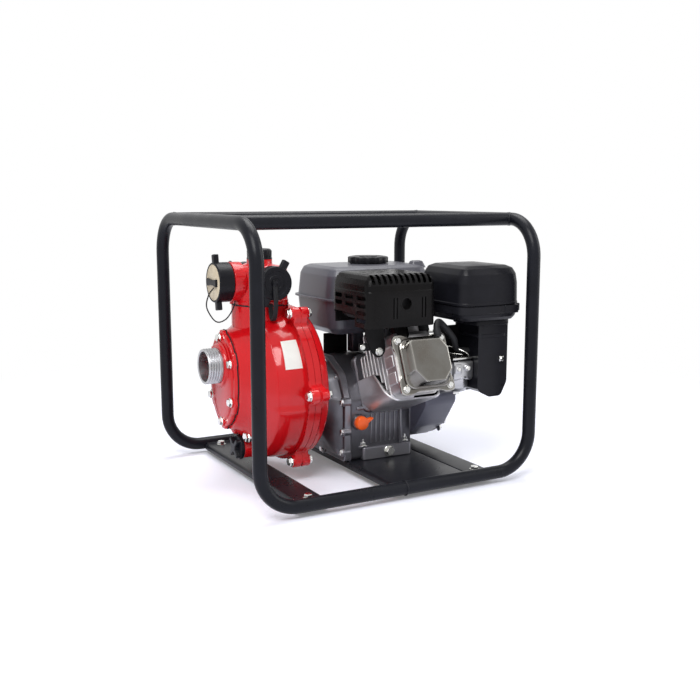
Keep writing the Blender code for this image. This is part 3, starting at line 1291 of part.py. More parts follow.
def dipstick():
    seat_y = CRANK.y - CASE_HALF_WIDTH - DIPSTICK_BOSS - GAP
    place = Vector((DIPSTICK_X, seat_y, CRANK.z - DIPSTICK_DROP))
    tab = lugged(DIPSTICK_D / 2, 1, DIPSTICK_D * 0.85, 0.007, math.radians(20), 10)
    head = circle_like(tab, DIPSTICK_D / 2)
    stem = circle_like(tab, DIPSTICK_STEM_D / 2)
    deep = DIPSTICK_H
    sections = [(DIPSTICK_STEM_D, stem), (0.0, stem), (0.0, head), (-deep * 0.3, head)]
    sections += [(-deep * 0.3 - SHOULDER, tab), (-deep * 0.9, tab), (-deep, scaled(tab, 0.9))]
    solid("dipstick", lofted(ALONG_Y, place, sections), "orange_plastic", place)


def spark_plug():
    root = CYLINDER + ALONG_CYLINDER[0] * (DECK + HEAD_LENGTH * 0.75)
    root.x = PLUG_X
    axes = (ALONG_CYLINDER[2], ALONG_CYLINDER[1], -ALONG_CYLINDER[0])
    seat = FIN_WIDTH / 2 - FIN_DEPTH + GAP
    profile = [(seat, PLUG_D), (seat + 0.008, PLUG_D), (seat + 0.009, PLUG_D * 0.7)]
    profile += [(seat + 0.016, PLUG_D * 0.7), (seat + 0.017, PLUG_D), (seat + PLUG_H, PLUG_D * 0.8)]
    solid("spark_plug", turned(axes, root, profile, 12), "black_plastic")


def breather_hose():
    """Hose that rises from the valve cover's upper edge and falls to the air cleaner's elbow."""
    axis, across, up = ALONG_CYLINDER
    start = CYLINDER + axis * (HEAD_END + COVER_FLANGE_T + 0.012) + across * (COVER_FLANGE_WIDTH * 0.29)
    start = start + up * (COVER_FLANGE_HEIGHT / 2 - HOSE_D * 0.6)
    end_x = CYLINDER_X + FIN_WIDTH / 2 + CARB_LENGTH - GAP
    end = Vector((end_x, ELBOW_NEAR_Y + ELBOW_WIDTH / 2, CRANK.z + HOSE_END_RISE))
    crest = start + up * HOSE_RISE
    fall = end - crest
    stops = [start, start + up * (HOSE_RISE / 2), crest + across * (HOSE_D / 2)]
    stops += [crest + fall * 0.25 + up * (HOSE_RISE * 0.4), crest + fall * 0.55]
    stops += [end - across * (HOSE_D * 2) + up * (HOSE_D / 2), end - across * (HOSE_D * 0.8), end]
    tube("breather_hose", smooth_route(stops, 3), HOSE_D, "rubber", 2)


def engine_pieces():
    crankcase()
    side_cover()
    cylinder_head()
    valve_cover()
    rotating_parts()
    camshaft()
    piston_and_rod()
    blower_housing()
    recoil_starter()
    engine_switch()
    fuel_tank()
    fuel_cap()
    muffler_and_guard()
    air_cleaner()
    carburetor()
    controls()
    dipstick()
    spark_plug()
    breather_hose()


def main():
    for old in list(bpy.data.objects):
        bpy.data.objects.remove(old, do_unlink=True)
    frame_pieces()
    pump_pieces()
    engine_pieces()


main()
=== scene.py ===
"""Portable fire pump: its visible pieces, their finishes and the stage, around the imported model.

Shapes are worked out in millimetres as whole arrays, in the model's own frame: +X runs from the
inlet to the recoil starter, -Y is the side of the valve cover, and +Z is up.
"""

import math

import bmesh
import bpy
import numpy as np
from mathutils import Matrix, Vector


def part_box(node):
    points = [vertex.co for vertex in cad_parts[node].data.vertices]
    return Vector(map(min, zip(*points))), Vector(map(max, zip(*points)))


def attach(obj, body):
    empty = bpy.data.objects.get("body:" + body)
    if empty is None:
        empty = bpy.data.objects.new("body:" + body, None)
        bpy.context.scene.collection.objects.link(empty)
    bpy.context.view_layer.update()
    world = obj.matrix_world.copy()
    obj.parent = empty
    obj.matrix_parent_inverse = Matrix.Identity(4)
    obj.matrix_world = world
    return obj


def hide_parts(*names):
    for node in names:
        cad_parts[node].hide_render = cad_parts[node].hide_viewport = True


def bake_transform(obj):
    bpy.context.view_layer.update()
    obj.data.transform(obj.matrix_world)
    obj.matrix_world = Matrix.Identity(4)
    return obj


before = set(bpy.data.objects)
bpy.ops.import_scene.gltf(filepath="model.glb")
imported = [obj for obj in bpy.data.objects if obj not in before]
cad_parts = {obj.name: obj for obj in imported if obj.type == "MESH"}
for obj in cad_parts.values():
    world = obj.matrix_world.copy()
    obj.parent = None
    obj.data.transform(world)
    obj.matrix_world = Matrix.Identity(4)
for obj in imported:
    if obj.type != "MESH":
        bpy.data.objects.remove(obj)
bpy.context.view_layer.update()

bl_info = {
    "name": "Portable fire pump",
    "version": (1, 0, 0),
    "blender": (4, 5, 0),
    "location": "View3D > Sidebar > Fire Pump",
    "description": "Builds the pump's visible pieces and finishes around the packed model",
    "category": "Object",
}

MM = 0.001
TURN = 2 * math.pi

# Directions of a shape: along, across and up
ALONG_X = np.array([(1, 0, 0), (0, 1, 0), (0, 0, 1)], float)
ALONG_Y = np.array([(0, 1, 0), (1, 0, 0), (0, 0, 1)], float)
ALONG_Z = np.array([(0, 0, 1), (1, 0, 0), (0, 1, 0)], float)
BACK_X = ALONG_X * [[-1], [1], [1]]
BACK_Y = ALONG_Y * [[-1], [1], [1]]
DOWN_Z = ALONG_Z * [[-1], [1], [1]]
TILT = math.radians(22)
ALONG_CYLINDER = np.array(
    [(0, -math.cos(TILT), math.sin(TILT)), (1, 0, 0), (0, math.sin(TILT), math.cos(TILT))]
)
OVER_CYLINDER = ALONG_CYLINDER[[2, 1, 0]] * [[1], [1], [-1]]

# Main places, in millimetres
CRANK = np.array((0.0, 28.0, 129.3))
PUMP = np.array((0.0, 28.0, 161.3))
COVER = np.array((0.0, 31.0, 172.3))
INLET = np.array((0.0, 28.0, 197.8))
DRAIN = np.array((0.0, 18.0, 56.3))
CYLINDER = np.array((64.0, 28.0, 129.3))
TUBE = 11
HOOP_X = 249
HOOP_Y = 210
HOOP_BEND = 62
RAIL_Y = 145
LOW_Z = 18
TOP_Z = 438
FIN_PITCH = 11
FIN_RISE = 34
COVER_BOLTS = ((34, 243), (32, 101), (-11, 205), (-11, 141), (75, 205), (75, 140))


def colour(name, description, value):
    return bpy.props.FloatVectorProperty(
        name=name, description=description, subtype="COLOR", size=3, min=0.0, max=1.0, default=value
    )


def length(name, description, value):
    return bpy.props.FloatProperty(
        name=name, description=description, unit="LENGTH", min=0.0, default=value * MM
    )


class FirePumpLooks(bpy.types.PropertyGroup):
    """Colours and small sizes of the pump that a user would change"""

    enamel: colour("Pump enamel", "Gloss paint of the pump castings", (0.60, 0.006, 0.010))
    frame_coat: colour("Frame coat", "Satin powder coat of the tube frame", (0.0065, 0.007, 0.0095))
    alloy: colour("Cast alloy", "Bare castings of the engine", (0.37, 0.365, 0.37))
    # crankcase and side cover: the same cast alloy as the cylinder, darkened as painted shade
    case_alloy: colour("Case alloy", "Crankcase and side cover", (0.125, 0.123, 0.135))
    bright_alloy: colour("Bright alloy", "Carburettor and inlet nipple", (0.46, 0.46, 0.465))
    zinc: colour("Zinc plate", "Bolts, nuts and washers", (0.42, 0.42, 0.41))
    pressed_steel: colour("Pressed steel", "Valve cover", (0.185, 0.18, 0.168))
    tank_paint: colour("Tank paint", "Fuel tank", (0.056, 0.056, 0.068))
    guard_paint: colour("Guard paint", "Muffler guard and recoil cover", (0.005, 0.0048, 0.005))
    shroud_paint: colour("Shroud paint", "Blower housing", (0.115, 0.117, 0.15))
    plastic: colour("Black plastic", "Air cleaner, caps and knobs", (0.006, 0.006, 0.008))
    rubber: colour("Rubber", "Feet, hoses, gaskets and tethers", (0.008, 0.008, 0.009))
    dipstick: colour("Dipstick", "Oil dipstick's plastic", (0.86, 0.115, 0.008))
    cap_face: colour("Cap face", "Inlaid disc on the end cap", (0.70, 0.60, 0.43))
    label: colour("Label", "Bare label on the casing", (0.80, 0.79, 0.74))
    foam: colour("Filter foam", "Air filter", (0.35, 0.30, 0.20))
    weld: length("Weld bead", "Width of a weld bead on the frame", 6.0)
    casing_bolt: length("Casing bolt", "Thread size of the casing's bolts", 8.0)
    cover_bolt: length("Cover bolt", "Thread size of the suction cover's bolts", 7.0)
    thread_pitch: length("Thread pitch", "Pitch of the inlet nipple's thread", 4.4)
    fin: length("Fin thickness", "Thickness of a cooling fin", 3.4)
    slot: length("Guard slot", "Width of a slot on the guard's edge", 6.0)
    slot_pitch: length("Guard slot pitch", "Distance between slots on the guard's edge", 10.6)
    light: bpy.props.FloatProperty(
        name="Light", description="Share of the plain light level", min=0.0, default=1.0
    )


def mm(value):
    """A length property in millimetres."""
    return value / MM


def cad(node):
    """Lowest and highest corner of a CAD node, in millimetres."""
    low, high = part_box(node)
    return np.array(low) / MM, np.array(high) / MM


# Outlines

def unit(vectors):
    size = np.linalg.norm(vectors, axis=-1, keepdims=True)
    return vectors / np.maximum(size, 1e-12)


def circle(radius, sides=48, phase=0.0):
    """Points of a circle at equal angles."""
    angle = phase + np.arange(sides) * (TURN / sides)
    return np.stack((np.cos(angle), np.sin(angle)), 1) * radius


def rounded(points, radius, steps=4, closed=True):
    """Polyline with arcs for corners.

    Each corner is cut back by radius / tan(half its angle). The arc swings round the centre on
    the corner's bisector, from one cut to the other.
    """
    points = np.asarray(points, float)
    radius = np.broadcast_to(np.asarray(radius, float), len(points))
    before = np.roll(points, 1, 0) - points
    after = np.roll(points, -1, 0) - points
    u = unit(before)
    v = unit(after)
    half = np.arccos(np.clip((u * v).sum(1), -1, 1)) / 2
    straight = half > math.pi / 2 - 1e-3
    tangent_of = np.where(straight, 1.0, np.tan(np.where(straight, 0.5, half)))
    shortest = np.minimum(np.linalg.norm(before, axis=1), np.linalg.norm(after, axis=1))
    reach = np.where(straight, 0.0, np.minimum(radius / tangent_of, 0.49 * shortest))
    size = reach * tangent_of
    bisector = unit(u + v)
    tangent = unit(v - u)
    centre = points + bisector * (reach / np.where(straight, 1.0, np.cos(half)))[:, None]
    swing = np.linspace(-1, 1, steps + 1) * (math.pi / 2 - half)[:, None]
    inward = bisector[:, None] * (size[:, None] * np.cos(swing))[..., None]
    sideways = tangent[:, None] * (size[:, None] * np.sin(swing))[..., None]
    arcs = centre[:, None] - inward + sideways
    if closed:
        return arcs.reshape(-1, points.shape[1])
    middle = arcs[1:-1].reshape(-1, points.shape[1])
    return np.vstack((points[:1], middle, points[-1:]))


def box_outline(width, height, corner, steps=5):
    """Rectangle with round corners, about its middle."""
    a = width / 2
    b = height / 2
    return rounded([(a, b), (-a, b), (-a, -b), (a, -b)], corner, steps)


def turned_by(points, angle):
    """Points of a plane turned about the origin."""
    c = math.cos(angle)
    s = math.sin(angle)
    return np.asarray(points, float) @ np.array([(c, s), (-s, c)])


def eared(radius, count, reach, half, phase, root=8.0):
    """Circle with round ears: the rim turns out through a concave root to a tip of one width."""
    foot = math.asin((half + root * 0.5) / radius)
    spread = TURN / count
    start = (radius * math.cos(foot), radius * math.sin(foot))
    ear = [(start[0], -start[1]), (reach, -half), (reach, half), start]
    rim = np.linspace(foot, spread - foot, 14)[1:-1]
    local = np.vstack((ear, np.stack((np.cos(rim), np.sin(rim)), 1) * radius))
    corner = np.concatenate(([root, half * 0.98, half * 0.98, root], np.zeros(len(rim))))
    whole = np.vstack([turned_by(local, phase + k * spread) for k in range(count)])
    return rounded(whole, np.tile(corner, count), 5)


def star(core, count, reach, width, phase, root=2.0, tip=2.0):
    """Outline with square arms of one width, softened at their roots and tips."""
    side = math.sqrt(max(core**2 - width**2 / 4, 0.0))
    arm = [(side, -width / 2), (reach, -width / 2), (reach, width / 2), (side, width / 2)]
    gap = TURN / count / 2
    between = [(core * math.cos(gap), core * math.sin(gap))] if count < 6 else []
    local = np.array(arm + between)
    corner = [root, tip, tip, root] + [core] * len(between)
    whole = np.vstack([turned_by(local, phase + k * TURN / count) for k in range(count)])
    return rounded(whole, np.tile(corner, count), 4)


def radial(outline, sides=180):
    """Points where rays at equal angles from the middle leave an outline."""
    ray = circle(1.0, sides)
    edge = np.roll(outline, -1, 0) - outline
    across = ray[:, None, 0] * edge[:, 1] - ray[:, None, 1] * edge[:, 0]
    across = np.where(np.abs(across) < 1e-12, 1e-12, across)
    along = (outline[:, 0] * edge[:, 1] - outline[:, 1] * edge[:, 0]) / across
    share = (outline[:, 0] * ray[:, None, 1] - outline[:, 1] * ray[:, None, 0]) / across
    hit = (along > 0) & (share > -1e-6) & (share < 1 + 1e-6)
    return ray * np.where(hit, along, 0.0).max(1)[:, None]


def inset(outline, depth):
    """Outline moved inwards: each point goes along the mitre of its two edges."""
    edge = unit(np.roll(outline, -1, 0) - outline)
    normal = np.stack((edge[:, 1], -edge[:, 0]), 1)
    previous = np.roll(normal, 1, 0)
    mitre = (normal + previous) / np.maximum(1 + (normal * previous).sum(1), 0.3)[:, None]
    return outline - mitre * depth


def smooth_route(stops, steps):
    """Curve through stops: the cubic with each stop's slope set by its two neighbours."""
    stops = np.asarray(stops, float)
    ends = np.vstack((2 * stops[0] - stops[1], stops, 2 * stops[-1] - stops[-2]))
    p0, p1, p2, p3 = (ends[k : len(ends) - 3 + k, None] for k in range(4))
    t = (np.arange(steps) / steps)[None, :, None]
    bend = (p2 - p0) * t + (2 * p0 - 5 * p1 + 4 * p2 - p3) * t**2
    points = p1 + (bend + (3 * p1 - p0 - 3 * p2 + p3) * t**3) / 2
    return np.vstack((points.reshape(-1, stops.shape[1]), stops[-1:]))


# Skins: points and the faces between them

def loft(rings, closed=False):
    """Quads between neighbouring rings of one count, with a flat cap on each open end."""
    rings = np.asarray(rings, float)
    rows, columns = rings.shape[:2]
    index = np.arange(rows * columns).reshape(rows, columns)
    caps = [] if closed else [index[:1, ::-1], index[-1:]]
    if closed:
        index = np.vstack((index, index[:1]))
    index = np.hstack((index, index[:, :1]))
    corners = (index[:-1, :-1], index[:-1, 1:], index[1:, 1:], index[1:, :-1])
    return rings.reshape(-1, 3), [np.stack(corners, -1).reshape(-1, 4), *caps]


def ring(axes, origin, along, outline):
    """Outline set across an axis: origin + along * axis + a * across + b * up."""
    return np.asarray(origin) + along * axes[0] + np.asarray(outline) @ axes[1:]


def layered(axes, origin, layers, closed=False):
    """Skin through (along, outline) layers of one count."""
    return loft([ring(axes, origin, at, outline) for at, outline in layers], closed)


def turned(axes, origin, profile, sides=48, fillet=0.0, closed=False):
    """Surface of revolution: a circle carried along (along, radius) steps with soft corners."""
    steps = rounded(profile, fillet, 3, closed) if fillet else np.asarray(profile, float)
    outline = circle(1.0, sides)
    return layered(axes, origin, [(at, outline * radius) for at, radius in steps], closed)


def boxed(axes, origin, width, height, corner, profile, fillet=0.0):
    """Round-cornered box carried along (along, inset) steps with soft corners."""
    steps = rounded(profile, fillet, 4, False) if fillet else np.asarray(profile, float)
    layers = []
    for at, depth in steps:
        size = max(corner - depth, corner * 0.3)
        layers.append((at, box_outline(width - 2 * depth, height - 2 * depth, size)))
    return layered(axes, origin, layers)


def swept(axes, origin, outline, profile, fillet=0.0):
    """Any outline carried along (along, inset) steps with soft corners."""
    steps = rounded(profile, fillet, 3, False) if fillet else np.asarray(profile, float)
    return layered(axes, origin, [(at, inset(outline, depth)) for at, depth in steps])


def slab(low, high, edge=1.5):
    """Box between two corners, with all its edges softened."""
    low = np.asarray(low, float)
    size = np.asarray(high, float) - low
    middle = low + size * (0.5, 0.5, 0.0)
    edge = min(edge, size.min() * 0.45)
    profile = [(0, edge), (edge * 0.3, edge * 0.3), (edge, 0)]
    profile += [(size[2] - edge, 0), (size[2] - edge * 0.3, edge * 0.3), (size[2], edge)]
    return boxed(ALONG_Z, middle, size[0], size[1], edge * 1.5, profile)


def tube(path, radius, sides=20, closed=False):
    """Circle carried along a path, with its frame turned as little as the path allows."""
    path = np.asarray(path, float)
    if closed:
        ahead = unit(np.roll(path, -1, 0) - np.roll(path, 1, 0))
    else:
        ahead = unit(np.gradient(path, axis=0))
    radius = np.broadcast_to(np.asarray(radius, float), len(path))
    seed = np.eye(3)[np.abs(ahead[0]).argmin()]
    across = [unit(np.cross(ahead[0], seed))]
    for direction in ahead[1:]:
        last = across[-1]
        across.append(unit(last - direction * (last @ direction)))
    across = np.array(across)
    up = np.cross(ahead, across)
    outline = circle(1.0, sides)
    sideways = across[:, None] * outline[None, :, :1] + up[:, None] * outline[None, :, 1:]
    return loft(path[:, None] + sideways * radius[:, None, None], closed)


def spoke(axes, angle):
    """Axes that point out from an axis at an angle: outwards, round, and along it."""
    out = axes[1] * math.cos(angle) + axes[2] * math.sin(angle)
    around = axes[2] * math.cos(angle) - axes[1] * math.sin(angle)
    return np.array((out, around, axes[0]))


def lug(axes, origin, angle, start, end, width, near, far):
    """Square lug that stands out of a round piece, from one radius to another."""
    place = np.asarray(origin) + axes[0] * (near + far) / 2
    steps = [(start, 0), (end - 1, 0), (end, 1)]
    return boxed(spoke(axes, angle), place, width, abs(far - near), 2.0, steps)


def bolt(axes, place, size, washer=True):
    """Hex head with a chamfered top on a round washer."""
    place = np.asarray(place, float)
    thick = size * 0.2 if washer else 0.0
    tall = size * 0.62
    hexagon = circle(size * 0.92, 6)
    layers = [(thick - 0.1, hexagon), (thick + tall * 0.78, hexagon)]
    layers += [(thick + tall, hexagon * 0.87)]
    skins = [layered(axes, place, layers)]
    if washer:
        profile = [(-0.2, size * 1.12), (thick * 0.7, size * 1.12), (thick, size * 1.06)]
        skins.append(turned(axes, place, profile, 20))
    return skins


def bolts(axes, places, size, washer=True):
    """The same bolt at several places."""
    return [skin for place in places for skin in bolt(axes, place, size, washer)]


def bossed(places, steps):
    """The same round boss along X at several (Y, Z) places."""
    return [turned(ALONG_X, (0, y, z), steps, 24) for y, z in places]


# Finishes

def node(tree, kind, inputs=None, **settings):
    """Shader node with its settings and its socket values or links."""
    made = tree.nodes.new(kind)
    for name, value in settings.items():
        setattr(made, name, value)
    for name, value in (inputs or {}).items():
        if isinstance(value, bpy.types.NodeSocket):
            tree.links.new(value, made.inputs[name])
        else:
            made.inputs[name].default_value = value
    return made


def group(name, inputs, outputs):
    """Empty shader node group with named sockets."""
    tree = bpy.data.node_groups.new(name, "ShaderNodeTree")
    for title, kind in inputs:
        tree.interface.new_socket(title, in_out="INPUT", socket_type="NodeSocket" + kind)
    for title, kind in outputs:
        tree.interface.new_socket(title, in_out="OUTPUT", socket_type="NodeSocket" + kind)
    return tree, tree.nodes.new("NodeGroupInput").outputs, tree.nodes.new("NodeGroupOutput").inputs


def mottle_group():
    """Slow change of colour and gloss: a noise mask mixes two colours and shifts the roughness."""
    sockets = [("Position", "Vector"), ("Scale", "Float"), ("Colour", "Color"), ("Tint", "Color")]
    sockets += [("Roughness", "Float"), ("Spread", "Float")]
    tree, given, result = group("finish_mottle", sockets, [("Colour", "Color"), ("Roughness", "Float")])
    place = {"Vector": given["Position"], "Scale": given["Scale"], "Detail": 5.0, "Roughness": 0.6}
    noise = node(tree, "ShaderNodeTexNoise", place)
    ends = {"Value": noise.outputs["Fac"], "From Min": 0.32, "From Max": 0.68}
    mask = node(tree, "ShaderNodeMapRange", ends).outputs["Result"]
    mix = node(tree, "ShaderNodeMix", data_type="RGBA")
    tree.links.new(mask, mix.inputs["Factor"])
    tree.links.new(given["Colour"], mix.inputs[6])
    tree.links.new(given["Tint"], mix.inputs[7])
    tree.links.new(mix.outputs[2], result["Colour"])
    centred = node(tree, "ShaderNodeMath", {0: mask, 1: 0.5}, operation="SUBTRACT")
    shift = {0: centred.outputs[0], 1: given["Spread"], 2: given["Roughness"]}
    rough = node(tree, "ShaderNodeMath", shift, operation="MULTIPLY_ADD")
    tree.links.new(rough.outputs[0], result["Roughness"])
    return tree


def grain_group():
    """Fine surface height: cells of a casting or a coat, broken up by noise."""
    sockets = [("Position", "Vector"), ("Scale", "Float"), ("Cells", "Float")]
    tree, given, result = group("surface_grain", sockets, [("Height", "Float")])
    place = {"Vector": given["Position"], "Scale": given["Scale"]}
    noise = node(tree, "ShaderNodeTexNoise", {**place, "Detail": 3.0})
    cells = node(tree, "ShaderNodeTexVoronoi", place, feature="SMOOTH_F1")
    blend = {0: cells.outputs["Distance"], 1: given["Cells"], 2: noise.outputs["Fac"]}
    height = node(tree, "ShaderNodeMath", blend, operation="MULTIPLY_ADD")
    tree.links.new(height.outputs[0], result["Height"])
    return tree


def painted_edge_highlight_group():
    """Painted edge highlight: colour that gives way to a lighter tone on outer edges, by the surface's
    pointiness.
    """
    sockets = [("Colour", "Color"), ("Edge", "Color"), ("Amount", "Float")]
    tree, given, result = group("edge_rub", sockets, [("Colour", "Color")])
    point = node(tree, "ShaderNodeNewGeometry").outputs["Pointiness"]
    edge = node(tree, "ShaderNodeMapRange", {"Value": point, "From Min": 0.515, "From Max": 0.60})
    share = {0: edge.outputs["Result"], 1: given["Amount"]}
    amount = node(tree, "ShaderNodeMath", share, operation="MULTIPLY")
    mix = node(tree, "ShaderNodeMix", data_type="RGBA")
    tree.links.new(amount.outputs[0], mix.inputs["Factor"])
    tree.links.new(given["Colour"], mix.inputs[6])
    tree.links.new(given["Edge"], mix.inputs[7])
    tree.links.new(mix.outputs[2], result["Colour"])
    return tree


# Each finish: second tone as a share of its colour, roughness and its spread, metal, coat, gloss,
# mottle and grain per metre, grain depth in millimetres, share of cells, painted edge highlight tone and
# its amount
FINISHES = {
    "enamel": {
        "tone": (0.88, 0.7, 0.7), "rough": 0.22, "spread": 0.08, "coat": 0.4, "gloss": 0.2,
        "mottle": 16, "grain": 130, "depth": 0.10, "cells": 0.25, "edge": 1.25, "rub": 0.5,
    },
    "frame_coat": {
        "tone": (1.35, 1.35, 1.4), "rough": 0.30, "spread": 0.10, "gloss": 0.14, "mottle": 18,
        "grain": 1500, "depth": 0.03, "cells": 0.6, "edge": 1.8, "rub": 0.4,
    },
    "alloy": {
        "tone": (0.66, 0.66, 0.70), "rough": 0.40, "spread": 0.18, "metal": 0.85, "mottle": 34,
        "grain": 1300, "depth": 0.08, "cells": 0.9, "edge": 2.4, "rub": 0.9,
    },
    # cast alloy of the crankcase and side cover, its colour darkened as painted shade
    "case_alloy": {
        "tone": (0.70, 0.70, 0.74), "rough": 0.36, "spread": 0.16, "metal": 0.8, "mottle": 30,
        "grain": 1300, "depth": 0.08, "cells": 0.9, "edge": 2.4, "rub": 0.8,
    },
    "bright_alloy": {
        "tone": (0.82, 0.83, 0.86), "rough": 0.32, "spread": 0.14, "metal": 0.95, "mottle": 45,
        "grain": 1600, "depth": 0.04, "cells": 0.8, "edge": 1.3, "rub": 0.6,
    },
    "zinc": {
        "tone": (0.96, 0.93, 0.82), "rough": 0.20, "spread": 0.12, "metal": 1.0, "mottle": 120,
        "grain": 900, "depth": 0.02, "cells": 0.3, "edge": 1.9, "rub": 0.8,
    },
    "pressed_steel": {
        "tone": (0.72, 0.68, 0.64), "rough": 0.24, "spread": 0.12, "metal": 1.0, "mottle": 20,
        "grain": 420, "depth": 0.02, "cells": 0.2, "edge": 3.4, "rub": 1.0,
    },
    "tank_paint": {
        "tone": (1.25, 1.25, 1.3), "rough": 0.34, "spread": 0.10, "coat": 0.1, "gloss": 0.45,
        "mottle": 11, "grain": 700, "depth": 0.02, "cells": 0.5, "edge": 1.5, "rub": 0.4,
    },
    "guard_paint": {
        "tone": (1.5, 1.4, 1.3), "rough": 0.26, "spread": 0.12, "gloss": 0.07, "mottle": 22,
        "grain": 900, "depth": 0.03, "cells": 0.6, "edge": 2.2, "rub": 0.5,
    },
    "shroud_paint": {
        "tone": (0.85, 0.85, 0.88), "rough": 0.38, "spread": 0.10, "coat": 0.1, "gloss": 0.3,
        "mottle": 15, "grain": 800, "depth": 0.02, "cells": 0.5, "edge": 1.4, "rub": 0.5,
    },
    "plastic": {
        "tone": (1.4, 1.4, 1.45), "rough": 0.32, "spread": 0.12, "gloss": 0.15, "mottle": 26,
        "grain": 2200, "depth": 0.03, "cells": 0.9, "edge": 1.8, "rub": 0.4,
    },
    "rubber": {
        "tone": (1.7, 1.7, 1.7), "rough": 0.66, "spread": 0.16, "gloss": 0.3, "mottle": 60,
        "grain": 1100, "depth": 0.05, "cells": 0.5, "edge": 2.0, "rub": 0.4,
    },
    "dipstick": {
        "tone": (0.9, 0.8, 0.8), "rough": 0.34, "spread": 0.10, "mottle": 70,
        "grain": 900, "depth": 0.03, "cells": 0.5, "edge": 1.15, "rub": 0.4,
    },
    "cap_face": {
        "tone": (0.86, 0.84, 0.78), "rough": 0.42, "spread": 0.12, "mottle": 90,
        "grain": 700, "depth": 0.03, "cells": 0.4, "edge": 1.1, "rub": 0.3,
    },
    "label": {
        "tone": (0.94, 0.94, 0.93), "rough": 0.45, "spread": 0.10, "coat": 0.3, "mottle": 60,
        "grain": 1200, "depth": 0.01, "cells": 0.4, "edge": 1.0, "rub": 0.2,
    },
    "foam": {
        "tone": (0.6, 0.6, 0.6), "rough": 0.9, "spread": 0.08, "mottle": 300,
        "grain": 1200, "depth": 0.6, "cells": 1.2, "edge": 1.1, "rub": 0.2,
    },
}


def finish(name):
    """Procedural material of one finish, made once: mottle, painted highlights on outer edges and a fine
    grain.
    """
    made = bpy.data.materials.get("pump_" + name)
    if made:
        return made
    facts = FINISHES[name]
    base = np.array(getattr(bpy.context.scene.fire_pump, name)[:])
    made = bpy.data.materials.new("pump_" + name)
    made.use_nodes = True
    tree = made.node_tree
    shader = tree.nodes["Principled BSDF"]
    shader.inputs["Metallic"].default_value = facts.get("metal", 0.0)
    shader.inputs["Coat Weight"].default_value = facts.get("coat", 0.0)
    shader.inputs["Coat Roughness"].default_value = 0.06
    shader.inputs["Specular IOR Level"].default_value = facts.get("gloss", 0.5)
    place = node(tree, "ShaderNodeTexCoord").outputs["Object"]
    tone = np.clip(base * facts["tone"], 0, 1)
    # edge colour: a painted highlight for outer edges, lighter than the finish
    edge = np.clip(base * facts["edge"] + (0.01 if facts["edge"] > 1.05 else 0.0), 0, 1)
    slow = {"Position": place, "Scale": facts["mottle"], "Colour": (*base, 1), "Tint": (*tone, 1)}
    slow.update(Roughness=facts["rough"], Spread=facts["spread"])
    groups = bpy.data.node_groups
    shared = groups.get("finish_mottle") or mottle_group()
    mottle = node(tree, "ShaderNodeGroup", slow, node_tree=shared)
    fine = {"Position": place, "Scale": facts["grain"], "Cells": facts["cells"]}
    shared = groups.get("surface_grain") or grain_group()
    grain = node(tree, "ShaderNodeGroup", fine, node_tree=shared)
    # mix the painted edge highlight onto the mottled colour
    edge_lit = {"Colour": mottle.outputs["Colour"], "Edge": (*edge, 1), "Amount": facts["rub"]}
    shared = groups.get("edge_rub") or painted_edge_highlight_group()
    rub = node(tree, "ShaderNodeGroup", edge_lit, node_tree=shared)
    tree.links.new(rub.outputs["Colour"], shader.inputs["Base Color"])
    tree.links.new(mottle.outputs["Roughness"], shader.inputs["Roughness"])
    bump = {"Strength": 0.6, "Distance": facts["depth"] * MM, "Height": grain.outputs["Height"]}
    relief = node(tree, "ShaderNodeBump", bump)
    tree.links.new(relief.outputs["Normal"], shader.inputs["Normal"])
    return made


# Pieces

def skin_mesh(name, skins):
    """One mesh from skins, set as whole arrays, with doubles merged and faces turned outwards."""
    points = np.vstack([skin[0] for skin in skins]) * MM
    starts = np.cumsum([0] + [len(skin[0]) for skin in skins])
    loops = []
    sizes = []
    for (_, faces), start in zip(skins, starts):
        loops += [(block + start).ravel() for block in faces]
        sizes += [np.full(len(block), block.shape[1]) for block in faces]
    loops = np.concatenate(loops).astype(np.int32)
    sizes = np.concatenate(sizes).astype(np.int32)
    mesh = bpy.data.meshes.new(name)
    mesh.vertices.add(len(points))
    mesh.vertices.foreach_set("co", points.astype(np.float32).ravel())
    mesh.loops.add(len(loops))
    mesh.loops.foreach_set("vertex_index", loops)
    mesh.polygons.add(len(sizes))
    mesh.polygons.foreach_set("loop_start", (np.cumsum(sizes) - sizes).astype(np.int32))
    mesh.update(calc_edges=True)
    work = bmesh.new()
    work.from_mesh(mesh)
    bmesh.ops.remove_doubles(work, verts=work.verts, dist=2e-6)
    bmesh.ops.dissolve_degenerate(work, edges=work.edges, dist=1e-6)
    bmesh.ops.recalc_face_normals(work, faces=work.faces)
    work.to_mesh(mesh)
    work.free()
    return mesh


def linked(name, mesh):
    made = bpy.data.objects.new(name, mesh)
    bpy.context.scene.collection.objects.link(made)
    return made


def cut_mesh(name, skins, cutters):
    """Mesh of some skins with other skins cut out of it."""
    whole = linked(name + "_whole", skin_mesh(name + "_whole", skins))
    tool = linked(name + "_tool", skin_mesh(name + "_tool", cutters))
    change = whole.modifiers.new("cut", "BOOLEAN")
    change.operation = "DIFFERENCE"
    change.solver = "EXACT"
    change.object = tool
    graph = bpy.context.evaluated_depsgraph_get()
    mesh = bpy.data.meshes.new_from_object(whole.evaluated_get(graph))
    mesh.name = name
    for spare in (whole, tool):
        data = spare.data
        bpy.data.objects.remove(spare)
        bpy.data.meshes.remove(data)
    return mesh


def piece(name, skins, look, nodes=(), body="frame", sharp=36.0, cutters=None):
    """Visible piece with its finish, riding on a body and standing for CAD nodes."""
    mesh = cut_mesh(name, skins, cutters) if cutters else skin_mesh(name, skins)
    mesh.shade_smooth()
    mesh.set_sharp_from_angle(angle=math.radians(sharp))
    mesh.materials.clear()
    mesh.materials.append(finish(look))
    made = linked(name, mesh)
    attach(made, body)
    if nodes:
        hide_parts(*nodes)
    return made


